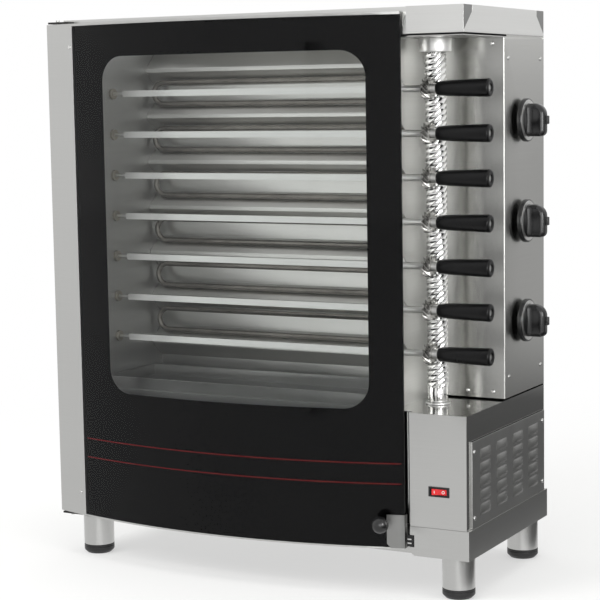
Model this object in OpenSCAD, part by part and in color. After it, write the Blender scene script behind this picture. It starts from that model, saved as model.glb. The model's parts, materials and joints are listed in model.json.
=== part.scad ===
// Electric skewer grill with a bowed glass door and a worm-driven row of skewers.
// Millimetres, +Z up, the front faces -Y, the origin is on the floor under the middle of the whole.
// Inside the file x = 0 is the cabinet's left side and y = 0 is the front of its drive side.

/* [Cabinet] */
// Width of the cabinet, side to side
cab_w = 708; // [680:1:760]
// Depth of the cabinet, front to back
cab_d = 322; // [300:1:350]
// Height of the body, from the underside of the plinth to the top of the cover
body_h = 817; // [800:1:860]
// Height of the folded plinth
plinth_h = 45; // [36:1:50]
// How far the plinth stands out in front of the drive side
plinth_front = 1; // [0.5:0.5:3]
// How far the plinth stands out at the right side and the back
plinth_side = 4; // [2:0.5:8]
// Height of the fascia round the cover
cover_h = 40; // [30:1:46]
// Thickness of the stainless sheet
sheet = 1.5; // [1:0.1:2]
// How far the cavity front lies behind the front of the drive side
recess = 12; // [11:0.5:16]
// Height of the cavity floor above the underside of the plinth
floor_h = 219; // [200:1:230]

/* [Legs] */
// Height of the legs, floor to plinth
leg_h = 64; // [50:1:90]
// Outer diameter of the leg tubes
leg_dia = 50; // [42:1:54]
// Wall of the leg tubes
leg_wall = 1.5; // [1.2:0.1:2.5]
// Distance from the sides of the cabinet to the leg centres
leg_inset = 27; // [26:1:36]
// Distance from the front of the cabinet to the front leg centres
leg_front = 32; // [27:1:44]
// Height of the plastic foot below the tube
foot_h = 15; // [10:1:20]
// Reach of the levelling foot, which screws down out of the tube
foot_travel = 20; // [10:1:25]

/* [Cavity] */
// Distance from the cabinet's left side to the inner face of the cavity's left wall
left_gap = 58; // [50:1:70]
// Depth of the cavity, to the bottoms of the reflector troughs
cavity_d = 181; // [175:1:195]
// Depth of the reflector troughs
trough_d = 29; // [22:1:32]
// Height of the lowest reflector ridge above the cavity floor
ridge_rise = 57.5; // [50:0.5:60]
// Distance from the highest reflector ridge up to the ceiling
ridge_head = 37.5; // [36:0.5:44]
// Tube diameter of the heating elements
heater_dia = 8.5; // [6:0.5:9]
// Distance from the line of the heating elements back to the bottoms of the troughs
heater_back = 17; // [15:0.5:18]
// Clear space between a heating element and the sloping reflector beside it
heater_clear = 3.4; // [2.5:0.1:5]

/* [Door] */
// How far the glass bows out in front of its edges
door_bow = 50; // [40:1:60]
// How far the door reaches past the left side of the cabinet
door_over = 25; // [24:1:30]
// Width of the stainless stile at the hinges
stile_w = 62; // [48:1:66]
// Thickness of the glass
glass_t = 5; // [4:0.5:6]
// Height of the rail that shows below the glass
rail_h = 2.5; // [2:0.5:4]
// Height of the rail that shows above the glass
head_h = 4; // [2:0.5:5]
// Black margin left of the window
window_left = 63; // [50:1:80]
// Black margin right of the window
window_right = 51; // [45:1:70]
// Black margin above the window
window_head = 50; // [40:1:70]
// Corner radius of the window
window_r = 40; // [25:1:60]
// Diameter of the hinge pins
hinge_pin_dia = 6; // [5:0.5:7]
// Diameter of the ball on the door
ball_dia = 26; // [24:1:32]

/* [Drive] */
// Width of the drive bay beside the cavity
bay_w = 124; // [118:1:130]
// Depth of the bay, to the front of the control housing
bay_d = 154; // [140:1:160]
// Depth of the skewer axes behind the front
skewer_y = 62; // [58:1:68]
// Height of the lowest skewer above the cavity floor
skewer_rise = 79.5; // [74:0.5:84]
// Distance from the highest skewer up to the ceiling
skewer_head = 75.5; // [60:0.5:84]
// Normal module of the helical teeth
tooth_module = 2; // [1.9:0.05:2.1]
// Play between the pitch cylinders of the worm and the gears
mesh_play = 0.4; // [0.3:0.05:0.6]
// Distance from the worm axis to the right side of the cabinet
worm_inset = 85; // [82:1:92]
// Width of a skewer gear
gear_w = 12; // [12:1:18]

/* [Skewers] */
// Side of the square bar
bar_side = 10; // [8:0.5:12]
// Diameter of the round shaft in the slot
shaft_dia = 10.5; // [9:0.5:12]
// Diameter of the pointed pin
tip_dia = 5; // [4:0.5:6]
// Length of the handle
handle_len = 86; // [80:1:100]
// Diameter of the handle at its inner end
handle_dia_in = 19; // [17:0.5:22]
// Diameter of the handle at its outer end
handle_dia_out = 27; // [24:0.5:30]

/* [Controls] */
// Diameter of the knob skirts
knob_dia = 67; // [60:1:72]
// Depth of a knob from the panel to the end of its grip
knob_depth = 45; // [40:1:50]
// Width of the grip bar
grip_w = 20; // [16:1:24]
// Depth of the knob axes behind the front
knob_y = 224; // [215:1:235]
// Height of the lowest knob above the control housing's bottom
knob_rise = 115; // [90:1:130]
// Distance from the highest knob up to the ceiling
knob_head = 126; // [90:1:140]
// Diameter of the control spindles
spindle_dia = 6; // [5:0.5:7]
// Width of the switch bezel
bezel_w = 33; // [30:0.5:38]
// Height of the switch bezel
bezel_h = 15; // [13:0.5:18]
// How far the rocker tips over
rocker_tip = 16; // [10:1:20]

/* [Vents] */
// Length of a louvre
louvre_len = 44; // [38:1:48]
// Height of a louvre
louvre_h = 17; // [12:0.5:18]
// How far a louvre stands out
louvre_out = 4; // [3:0.5:6]
// How far the vent panel stands out from the box
vent_out = 2.8; // [2:0.1:4]
// Distance from the vent panel up to the top of the motor box
vent_head = 40.5; // [30:0.5:50]

/* [Hidden] */
$fn = 48;

// Clearances
seat_gap = 0.3;      // two pieces that sit on each other
run_gap = 0.08;      // radial, round a pin or shaft that turns
slot_gap = 0.6;      // a hole round a piece that only passes through
door_gap = 1;        // between the door and its hinge brackets
side_gap = 3;        // beside the free edge of the door
cut = 1;             // how far a cutting solid runs past a face

// Levels
plinth_z = leg_h;
plinth_top = plinth_z + plinth_h;
top_z = plinth_z + body_h;
cover_z = top_z - cover_h;
ceiling_z = cover_z - 4;
floor_z = plinth_z + floor_h;
motor_top = floor_z - sheet;
housing_z = motor_top + 2.5;

// Planes across the cabinet
right_wall_x = cab_w - bay_w;
back_y = cab_d - sheet;
cavity_back_y = recess + cavity_d;
worm_x = cab_w - worm_inset;

// Door arc, seen from above: it starts and ends on y = 0
front_gap_w = 92;                       // width of the front of the drive side
front_x = cab_w - front_gap_w;
latch_t = 1.2;
door_x0 = -door_over;
door_x1 = front_x - side_gap - latch_t - 5.8;
door_half = (door_x1 - door_x0) / 2;
door_r = (pow(door_half, 2) + pow(door_bow, 2)) / (2 * door_bow);
door_cx = (door_x0 + door_x1) / 2;
door_cy = door_r - door_bow;
door_z0 = plinth_z + 8;
glass_z0 = door_z0 + rail_h;
glass_x0 = door_x0 + stile_w;
door_z1 = top_z - 7;
glass_z1 = door_z1 - head_h;
hinge_x = -door_over + 18;
hinge_y = recess / 2;
border_t = 1;
window_z0 = floor_z + 1;
window_h = glass_z1 - window_head - window_z0;
window_x1 = door_x1 - window_right;
window_w = window_x1 - glass_x0 - window_left;

// Skewers and the worm
skewers = 7;
teeth = 10;
helix = 45;
pitch_r = teeth * tooth_module / cos(helix) / 2;
tip_r = pitch_r + tooth_module;
lead = 2 * PI * pitch_r / tan(helix);
worm_y = skewer_y + 2 * pitch_r + mesh_play;
worm_tip_half = 2.2;                    // half angle of a worm tooth at its tip
worm_root_r = pitch_r - 1.45 * tooth_module;
gear_root_r = pitch_r - 1.2 * tooth_module;
gear_tip_half = 3.4;                    // half angles of a gear tooth at its tip and its root
gear_root_half = 12.5;
journal_len = 24;
collar_t = 3;
worm_z0 = motor_top + collar_t + seat_gap + journal_len;
bearing_h = 21;
bearing_dia = 48;
bearing_z = ceiling_z - bearing_h;
worm_z1 = bearing_z - 0.5;
spigot_dia = 20;
drive_dia = 14;
collar_dia = 38.5;
skewer_z0 = floor_z + skewer_rise;
skewer_pitch = (ceiling_z - skewer_head - skewer_z0) / (skewers - 1);
gear_x0 = worm_x - gear_w / 2;
gear_x1 = worm_x + gear_w / 2;
handle_x0 = gear_x1 + 8.5;
handle_x1 = handle_x0 + handle_len;
bush_flange_t = 4;
bush_flange_dia = 18;
bush_dia = 12;
bush_len = 8;
tip_x0 = left_gap - bush_len + 2;
bar_x0 = left_gap + bush_flange_t + 20;
bar_x1 = right_wall_x - sheet - 12;

// Reflectors and heating elements
ridges = 7;
ridge_z0 = floor_z + ridge_rise;
ridge_pitch = (ceiling_z - ridge_head - ridge_z0) / (ridges - 1);
ridge_half = 3;
trough_half = 12;
heater_y = cavity_back_y - heater_back;
slope_half = trough_half + (ridge_pitch / 2 - ridge_half - trough_half) * heater_back / trough_d;
heater_gap = 2 * (slope_half - heater_dia / 2 - heater_clear);
heater_x0 = left_gap + 26;
heater_x1 = right_wall_x + 22;
gland_dia = 11;
gland_t = 4;

// Motor box, its front panel, vent panel and switch
motor_dia = 62;
gearbox_w = 70;
gearbox_h = 50;
gearbox_z1 = motor_top - sheet - 18;
sleeve_dia = 24;
vent_y0 = 16;
vent_y1 = cab_d - 6;
vent_t = 1.2;
vent_z1 = motor_top - vent_head;
louvre_rows = 5;
louvre_cols = 4;
louvre_side = 50;
louvre_end = 24;
louvre_pitch_z = (vent_z1 - plinth_top - 2 * louvre_end) / (louvre_rows - 1);
louvre_pitch_y = (vent_y1 - vent_y0 - 2 * louvre_side) / (louvre_cols - 1);
switch_x = cab_w - 44.5;
switch_z = plinth_top + 56;
bezel_t = 1.6;
bezel_rim = 2.6;
switch_depth = 20;
pivot_dia = 2.4;
pivot_y = 5;

// Controls
knobs = 3;
knob_z0 = housing_z + knob_rise;
knob_pitch = (ceiling_z - knob_head - knob_z0) / (knobs - 1);
knob_gap = 0.3;
control_w = 44;
control_t = 30;
spindle_reach = 16;

// Catch, latch and ball
catch_w = 11;
catch_h = 17.5;
catch_x = front_x - catch_w / 2 + 1;
catch_z = plinth_z + 13.5;
latch_w = 25;
latch_h = 51;
latch_z = door_z0 + 1.5;
neck_dia = 11;
ball_x = door_x1 - latch_w - neck_dia / 2 - 0.5;
ball_stand = 26;
ball_z = latch_z + 41;

// Feet
foot_plug_len = 24;
foot_chamfer = 5;

// Hinge brackets
bracket_t = 3;
bracket_w = 20;
bracket_y0 = -3;
bracket_y1 = 60;
bracket_leg = 30;
bracket_leg_y = 34;

// Gland on the back
gland_x = cab_w - 60;
gland_z = plinth_top + 60;
gland_out = 22;
gland_body_dia = 16;

// Box round the whole, for the origin
ball_y = door_y(ball_x) - ball_stand * cos(door_ang(ball_x));
x_min = door_x0;
x_max = cab_w + knob_depth;
y_min = min(-door_bow, ball_y - ball_dia / 2);
y_max = cab_d + gland_out;

steel = [0.75, 0.75, 0.74];
bright_steel = [0.85, 0.85, 0.86];
dark = [0.1, 0.1, 0.1];

function door_ang(x) = asin((x - door_cx) / door_r);
function door_y(x) = door_cy - door_r * cos(door_ang(x));
function skewer_z(i) = skewer_z0 + (i - 1) * skewer_pitch;
function knob_z(i) = knob_z0 + (i - 1) * knob_pitch;
function ridge_z(i) = ridge_z0 + i * ridge_pitch;
function trough_z(i) = ridge_z(i) + ridge_pitch / 2;
function leg_x(i) = i % 2 == 1 ? leg_inset : cab_w - leg_inset;
function leg_y(i) = i <= 2 ? leg_front : cab_d - leg_inset;

module at_origin() {
    translate([-(x_min + x_max) / 2, -(y_min + y_max) / 2, 0]) children();
}

// A box from one corner to the other
module block(low, high) {
    translate(low) cube(high - low);
}

module rounded_rect(w, h, r) {
    translate([r, 0]) square([w - 2 * r, h]);
    translate([0, r]) square([w, h - 2 * r]);
    for (x = [r, w - r], y = [r, h - r]) translate([x, y]) circle(r);
}

function on_arc(r, x) = [door_cx + r * sin(door_ang(x)), door_cy - r * cos(door_ang(x))];

// A stretch of the bowed door, outer radius r, between two places across the cabinet
module bowed(r, t, x0, x1, z0, z1) {
    translate([0, 0, z0]) linear_extrude(z1 - z0) intersection() {
        difference() {
            translate([door_cx, door_cy]) circle(r, $fn = 360);
            translate([door_cx, door_cy]) circle(r - t, $fn = 360);
        }
        polygon([[door_cx, door_cy], on_arc(1.2 * door_r, x0), on_arc(1.2 * door_r, x1)]);
    }
}

// Outline of the cabinet from above, stepped back behind the door
module stepped_plan(front = 0, side = 0) {
    translate([0, recess]) square([cab_w + side, cab_d + side - recess]);
    translate([front_x, -front]) square([front_gap_w + side, cab_d + side + front]);
}

// Upright walls of a folded tray or lid: sides, back, stepped front
module skirt(z0, z1, front = 0, side = 0) {
    block([0, recess, z0], [sheet, cab_d + side, z1]);
    block([cab_w + side - sheet, -front, z0], [cab_w + side, cab_d + side, z1]);
    block([0, back_y + side, z0], [cab_w + side, cab_d + side, z1]);
    block([0, recess, z0], [front_x + sheet, recess + sheet, z1]);
    block([front_x, -front, z0], [front_x + sheet, recess + sheet, z1]);
    block([front_x, -front, z0], [cab_w + side, sheet - front, z1]);
}

module on_x_axis(x, y, z) {
    translate([x, y, z]) rotate([0, 90, 0]) children();
}

// ---- Cabinet ----

module base_plinth() color(steel) difference() {
    flange = 14;
    union() {
        translate([0, 0, plinth_z]) linear_extrude(sheet) stepped_plan(plinth_front, plinth_side);
        skirt(plinth_z, plinth_top, plinth_front, plinth_side);
        // Flange folded inward, on which the boxes stand
        block([front_x, -plinth_front, plinth_top - sheet], [cab_w + plinth_side, flange, plinth_top]);
        block([cab_w - flange, -plinth_front, plinth_top - sheet],
            [cab_w + plinth_side, cab_d + plinth_side, plinth_top]);
        block([0, cab_d - flange, plinth_top - sheet],
            [cab_w + plinth_side, cab_d + plinth_side, plinth_top]);
        for (i = [1:4]) translate([leg_x(i), leg_y(i), foot_h + seat_gap])
            cylinder(d = leg_dia, h = plinth_z - foot_h - seat_gap);
    }
    for (i = [1:4]) translate([leg_x(i), leg_y(i), foot_h - cut])
        cylinder(d = leg_dia - 2 * leg_wall, h = plinth_z - foot_h + cut);
    block([catch_x - seat_gap, -plinth_front - cut, catch_z - seat_gap],
        [catch_x + catch_w + seat_gap, recess, catch_z + catch_h + seat_gap]);
    // Lower left corner of the front, cut away where the folds meet
    translate([front_x, recess / 2, plinth_z]) rotate([90, 0, 0]) linear_extrude(recess)
        polygon([[-cut, -cut], [8, -cut], [0, 5], [-cut, 5]]);
}

module left_side_panel() color(steel)
    block([0, recess, plinth_top], [sheet, back_y, cover_z]);

module cavity_left_wall() color(steel) difference() {
    union() {
        block([left_gap - sheet, recess, plinth_top], [left_gap, back_y, ceiling_z]);
        block([sheet, recess, plinth_top], [left_gap, recess + sheet, ceiling_z]);
    }
    for (i = [1:skewers]) on_x_axis(left_gap - sheet - cut, skewer_y, skewer_z(i))
        cylinder(d = bush_dia + 2 * run_gap, h = sheet + 2 * cut);
}

// The slot slopes down to the back and widens towards the door, so that a shaft drops to its seat
module shaft_slot() {
    seat_r = shaft_dia / 2 + run_gap;
    side_r = seat_r + 0.2;
    run = skewer_y - recess + cut;
    low = 22;
    high = 40;
    circle(seat_r);
    polygon([
        [-side_r * sin(low), -side_r * cos(low)],
        [side_r * sin(high), side_r * cos(high)],
        [-run, run * tan(high) + side_r / cos(high)],
        [-run, run * tan(low) - side_r / cos(low)]
    ]);
}

module cavity_right_wall() color(steel) difference() {
    block([right_wall_x - sheet, recess, plinth_top], [right_wall_x, back_y, ceiling_z]);
    for (i = [1:skewers]) translate([right_wall_x - sheet - cut, skewer_y, skewer_z(i)])
        rotate([90, 0, 90]) linear_extrude(sheet + 2 * cut) shaft_slot();
    for (i = [0:ridges - 2], s = [-1, 1])
        on_x_axis(right_wall_x - sheet - cut, heater_y, trough_z(i) + s * heater_gap / 2)
            cylinder(d = heater_dia + 2 * slot_gap, h = sheet + 2 * cut);
}

module cavity_floor() color(steel) {
    block([left_gap, recess, floor_z - sheet], [right_wall_x - sheet, cavity_back_y + sheet, floor_z]);
    block([left_gap, recess, plinth_top], [right_wall_x - sheet, recess + sheet, floor_z]);
}

module ceiling_sheet() color(steel) difference() {
    translate([0, 0, ceiling_z]) linear_extrude(sheet) {
        translate([sheet, recess + sheet]) square([cab_w - 2 * sheet, back_y - recess - sheet]);
        translate([front_x + sheet, sheet]) square([front_gap_w - 2 * sheet, back_y - sheet]);
    }
    block([cab_w - 2 * sheet, bay_d + 14, ceiling_z - cut], [cab_w, cab_d, cover_z]);
    translate([worm_x, worm_y, ceiling_z - cut]) cylinder(d = spigot_dia + 4, h = sheet + 2 * cut);
}

module back_panel() color(steel) difference() {
    block([0, back_y, plinth_top], [cab_w, cab_d, cover_z]);
    translate([gland_x, back_y - cut, gland_z]) rotate([-90, 0, 0])
        cylinder(d = gland_body_dia + 2 * seat_gap, h = sheet + 2 * cut);
}

module top_cover() color(steel) difference() {
    union() {
        translate([0, 0, top_z - sheet]) linear_extrude(sheet) stepped_plan();
        skirt(cover_z, top_z);
    }
    // Mitred ends of the right fascia, where the darker return tabs show
    for (end = [0, 1]) translate([cab_w - sheet / 2, end * cab_d, 0]) mirror([0, end, 0])
        rotate([90, 0, 90]) linear_extrude(sheet) polygon([
            [-cut, cover_z + 4], [1, cover_z + 4], [31, top_z - 9], [31, top_z + cut], [-cut, top_z + cut]
        ]);
}

// ---- Cooking cavity ----

// One pitch of the folded sheet, from the middle of a ridge up to the middle of the next
function fold(i, y) = [
    [y - trough_d, ridge_z(i) + ridge_half],
    [y, trough_z(i) - trough_half],
    [y, trough_z(i) + trough_half],
    [y - trough_d, ridge_z(i + 1) - ridge_half]
];

function fold_line(y) = concat(
    [[y, floor_z], [y, ridge_z0 - ridge_pitch / 2 + trough_half], [y - trough_d, ridge_z0 - ridge_half]],
    [for (i = [0:ridges - 2]) each fold(i, y)],
    [[y - trough_d, ridge_z(ridges - 1) + ridge_half],
        [y, ridge_z(ridges - 1) + trough_d], [y, ceiling_z]]
);

function flip(points) = [for (i = [len(points) - 1:-1:0]) points[i]];

module reflector_sheet() color(bright_steel)
    translate([left_gap, 0, 0]) rotate([90, 0, 90]) linear_extrude(right_wall_x - sheet - left_gap)
        polygon(concat(fold_line(cavity_back_y), flip(fold_line(cavity_back_y + sheet))));

module heating_element() {
    for (s = [-1, 1]) {
        on_x_axis(heater_x0, 0, s * heater_gap / 2) cylinder(d = heater_dia, h = heater_x1 - heater_x0);
        on_x_axis(heater_x1, 0, s * heater_gap / 2) cylinder(d = heater_dia / 2, h = 10);
        on_x_axis(right_wall_x - sheet - gland_t, 0, s * heater_gap / 2)
            cylinder(d = gland_dia, h = gland_t);
    }
    translate([heater_x0, 0, 0]) rotate([90, 90, 0]) rotate_extrude(angle = -180)
        translate([heater_gap / 2, 0]) circle(d = heater_dia);
}

module heating_elements() color([0.35, 0.33, 0.31])
    for (i = [0:ridges - 2]) translate([0, heater_y, trough_z(i)]) heating_element();

module drip_tray() {
    side = 6;
    wall = 1;
    tray_h = 19;
    low = [left_gap + side, recess + sheet + side, floor_z + seat_gap];
    high = [right_wall_x - sheet - side, cavity_back_y - trough_d - side, floor_z + tray_h];
    color([0.66, 0.66, 0.65]) difference() {
        union() {
            block(low, high);
            block([low[0] - 3, low[1] - 3, high[2] - wall], [high[0] + 3, high[1] + 3, high[2]]);
        }
        block(low + [wall, wall, wall], high - [wall, wall, -cut]);
    }
}

module tip_bushes() color([0.78, 0.72, 0.5])
    for (i = [1:skewers]) translate([0, skewer_y, skewer_z(i)]) difference() {
        union() {
            on_x_axis(left_gap - bush_len, 0, 0) cylinder(d = bush_dia, h = bush_len);
            on_x_axis(left_gap, 0, 0) cylinder(d = bush_flange_dia, h = bush_flange_t);
        }
        on_x_axis(left_gap - bush_len - cut, 0, 0)
            cylinder(d = tip_dia + 2 * run_gap, h = bush_len + bush_flange_t + 2 * cut);
    }

// ---- Drive bay, control housing and motor box ----

module control_housing() color(steel) difference() {
    union() {
        block([right_wall_x, bay_d, housing_z], [cab_w, bay_d + sheet, ceiling_z]);
        block([cab_w - sheet, bay_d, housing_z], [cab_w, back_y, ceiling_z]);
        block([right_wall_x, bay_d, housing_z], [cab_w, back_y, housing_z + sheet]);
        block([cab_w - 2 * sheet, bay_d + 14, ceiling_z - 6], [cab_w - sheet, back_y, cover_z + 6]);
    }
    for (i = [1:knobs]) on_x_axis(cab_w - sheet - cut, knob_y, knob_z(i))
        cylinder(d = spindle_dia + 2 * slot_gap, h = sheet + 2 * cut);
}

module motor_box() color(bright_steel) difference() {
    union() {
        block([right_wall_x, recess, motor_top - sheet], [cab_w, back_y, motor_top]);
        block([front_x, sheet, motor_top - sheet], [cab_w, recess, motor_top]);
        block([cab_w - sheet, sheet, plinth_top], [cab_w, back_y, motor_top]);
        block([right_wall_x, recess, plinth_top], [front_x, recess + sheet, motor_top]);
    }
    translate([worm_x, worm_y, motor_top - sheet - cut]) cylinder(d = sleeve_dia + 2, h = sheet + 2 * cut);
    block([cab_w - sheet - cut, vent_y0 + 16, plinth_top + 14], [cab_w + cut, vent_y1 - 16, vent_z1 - 10]);
}

module motor_front_panel() color([0.82, 0.82, 0.81]) difference() {
    union() {
        block([front_x, 0, plinth_top], [cab_w, sheet, motor_top]);
        block([front_x, sheet, plinth_top], [front_x + sheet, recess, motor_top - sheet]);
    }
    half_w = bezel_w / 2 - bezel_rim + seat_gap;
    half_h = bezel_h / 2 - bezel_rim + seat_gap + 1;
    block([switch_x - half_w, -cut, switch_z - half_h], [switch_x + half_w, sheet + cut, switch_z + half_h]);
}

// A louvre pressed out of the panel: closed at the top and ends, open underneath
module louvre() {
    wall = 1;
    half = louvre_h / 2;
    side = [[0, half], [louvre_out, 3 - half], [louvre_out, -half], [0, -half]];
    rotate([90, 0, 0]) linear_extrude(louvre_len, center = true) difference() {
        polygon(side);
        polygon([[-cut, half - 3], [louvre_out - wall, 3 - wall - half], [louvre_out - wall, -half - cut],
            [-cut, -half - cut]]);
    }
    for (s = [-1, 1]) translate([0, s * (louvre_len - wall) / 2, 0]) rotate([90, 0, 0])
        linear_extrude(wall, center = true) polygon(side);
}

function louvre_y(c) = (vent_y0 + vent_y1) / 2 + (c - (louvre_cols - 1) / 2) * louvre_pitch_y;
function louvre_z(r) = (plinth_top + vent_z1) / 2 + (r - (louvre_rows - 1) / 2) * louvre_pitch_z;

module vent_panel() color(steel) {
    slot = 4;
    face_x = cab_w + vent_out;
    difference() {
        union() {
            block([face_x - vent_t, vent_y0, plinth_top + seat_gap], [face_x, vent_y1, vent_z1]);
            for (y = [vent_y0, vent_y1 - vent_t])
                block([cab_w, y, plinth_top + seat_gap], [face_x, y + vent_t, vent_z1]);
        }
        for (c = [0:louvre_cols - 1], r = [0:louvre_rows - 1])
            translate([cab_w - cut, louvre_y(c) - louvre_len / 2 + 2, louvre_z(r) - louvre_h / 2])
                cube([vent_out + 2 * cut, louvre_len - 4, slot]);
    }
    for (c = [0:louvre_cols - 1], r = [0:louvre_rows - 1])
        translate([face_x, louvre_y(c), louvre_z(r)]) louvre();
}

module worm_bearings() color(bright_steel) translate([worm_x, worm_y, 0]) {
    difference() {
        translate([0, 0, bearing_z]) cylinder(d = bearing_dia, h = bearing_h);
        translate([0, 0, bearing_z - cut]) cylinder(d = spigot_dia + 2 * run_gap, h = bearing_h + 2 * cut);
    }
    difference() {
        translate([0, 0, motor_top]) cylinder(d = collar_dia, h = collar_t);
        translate([0, 0, motor_top - cut]) cylinder(d = drive_dia + 2 * run_gap, h = collar_t + 2 * cut);
    }
}

// Geared motor hung under the top of the motor box, its hollow output under the worm
module gear_motor() color([0.45, 0.47, 0.5]) translate([worm_x, worm_y, 0]) {
    half = gearbox_w / 2;
    motor_z0 = plinth_top + 6;
    difference() {
        union() {
            block([-half + 5, -half, gearbox_z1 - gearbox_h], [half + 5, half, gearbox_z1]);
            translate([0, 0, gearbox_z1]) cylinder(d = sleeve_dia, h = motor_top - sheet - gearbox_z1 - 2);
            for (x = [-half + 12, half - 2], y = [-half + 7, half - 7]) translate([x, y, gearbox_z1])
                cylinder(d = 8, h = motor_top - sheet - gearbox_z1);
            translate([5, 0, motor_z0]) cylinder(d = motor_dia, h = gearbox_z1 - gearbox_h - motor_z0);
        }
        translate([0, 0, gearbox_z1 - 20]) cylinder(d = drive_dia + 2 * run_gap, h = 60);
    }
}

module switch_bezel() color(dark) translate([switch_x, 0, switch_z]) difference() {
    w = bezel_w / 2;
    h = bezel_h / 2;
    union() {
        block([-w, -bezel_t, -h], [w, 0, h]);
        block([-w + bezel_rim, 0, -h + bezel_rim - 1], [w - bezel_rim, switch_depth, h - bezel_rim + 1]);
    }
    block([-w + bezel_rim + 0.8, -bezel_t - cut, -h + bezel_rim], [w - bezel_rim - 0.8, 13, h - bezel_rim]);
    translate([0, pivot_y, -h]) cylinder(d = pivot_dia + 2 * run_gap, h = 2 * h);
}

// Rocker seen from above: two flats that meet over the pivot, tipped to its rest side
module switch_rocker() color([0.8, 0.05, 0.03]) translate([switch_x, pivot_y, switch_z]) {
    w = bezel_w / 2 - bezel_rim - 2.1;
    h = bezel_h - 2 * bezel_rim - 2 * seat_gap;
    rotate([0, 0, rocker_tip / 2]) translate([0, 0, -h / 2]) linear_extrude(h)
        polygon([[-w, -6.8], [0, -5.2], [w, -6.8], [w - 0.6, -1], [4, 3.5], [-4, 3.5], [-w + 0.6, -1]]);
    translate([0, 0, -h / 2 - 1.1]) cylinder(d = pivot_dia, h = h + 2.2);
}

module hinge_brackets() color(steel) difference() {
    for (top = [0, 1]) translate([0, 0, top ? door_z1 + door_gap : door_z0 - door_gap])
        mirror([0, 0, 1 - top]) {
            block([-bracket_w, bracket_y0, 0], [0, bracket_y1, bracket_t]);
            block([-bracket_w, bracket_y0, 0], [bracket_w, recess, bracket_t]);
            mirror([0, 0, 1]) block([-bracket_t, bracket_leg_y, -bracket_t], [0, bracket_y1, bracket_leg]);
        }
    translate([hinge_x, hinge_y, 0]) cylinder(d = hinge_pin_dia + 2 * run_gap, h = top_z + 2 * cut);
}

module magnetic_catch() color(dark) {
    face_y = -plinth_front - cut;
    block([catch_x, face_y, catch_z], [catch_x + catch_w, recess, catch_z + catch_h]);
    for (z = [4.5, 10.5])
        block([catch_x + 1, face_y - 0.8, catch_z + z], [catch_x + catch_w - 3, face_y, catch_z + z + 2.5]);
}

module heat_controls() color([0.85, 0.84, 0.8]) for (i = [1:knobs]) translate([0, knob_y, knob_z(i)]) {
    half = control_w / 2;
    block([cab_w - sheet - control_t, -half, -half], [cab_w - sheet, half, half]);
    on_x_axis(cab_w - sheet, 0, 0) cylinder(d = spindle_dia, h = sheet + spindle_reach);
}

module cable_gland() color(dark) translate([gland_x, cab_d, gland_z]) rotate([-90, 0, 0]) {
    difference() {
        union() {
            cylinder(d = 26, h = 6, $fn = 6);
            cylinder(d = gland_body_dia + 3, h = gland_out - 4);
            cylinder(d = gland_body_dia - 2, h = gland_out);
            translate([0, 0, -sheet - 10]) cylinder(d = gland_body_dia, h = sheet + 10);
            translate([0, 0, -sheet - 6]) cylinder(d = 26, h = 6, $fn = 6);
        }
        translate([0, 0, -sheet - 10 - cut]) cylinder(d = 9, h = gland_out + sheet + 10 + 2 * cut);
    }
}

module pan_head(d) {
    h = d * 0.3;
    difference() {
        cylinder(d = d, h = h);
        translate([-d / 2, -d / 12, h * 0.6]) cube([d, d / 6, h]);
    }
}

module panel_screws() color(bright_steel) {
    small = 7;
    for (x = [bay_w / 2, bay_w - 20])
        translate([right_wall_x + x, bay_d, housing_z + 10]) rotate([90, 0, 0]) pan_head(small);
    translate([cab_w - 20, bay_d, ceiling_z - 9]) rotate([90, 0, 0]) pan_head(small);
    for (y = [bay_d + 16, back_y - 14], z = [housing_z + 33, ceiling_z - 31])
        on_x_axis(cab_w, y, z) pan_head(small);
    for (y = [vent_y0 + 8, vent_y1 - 8], z = [plinth_top + 16, vent_z1 - 16])
        on_x_axis(cab_w + vent_out, y, z) pan_head(small);
    for (x = [30, cab_w / 2, cab_w - 30], z = [plinth_top + 20, cover_z - 20])
        translate([x, cab_d, z]) rotate([-90, 0, 0]) pan_head(small);
}

// ---- Door ----

module door_glass() color([0.7, 0.8, 0.8, 0.3])
    bowed(door_r, glass_t, glass_x0, door_x1, glass_z0, glass_z1);

// Black layer on the back of the glass, open where the window is
module door_border() color(dark) difference() {
    bowed(door_r - glass_t - 0.05, border_t, glass_x0, door_x1, glass_z0, glass_z1);
    translate([window_x1 - window_w, recess, window_z0]) rotate([90, 0, 0])
        linear_extrude(door_bow + 2 * recess) rounded_rect(window_w, window_h, window_r);
}

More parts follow.
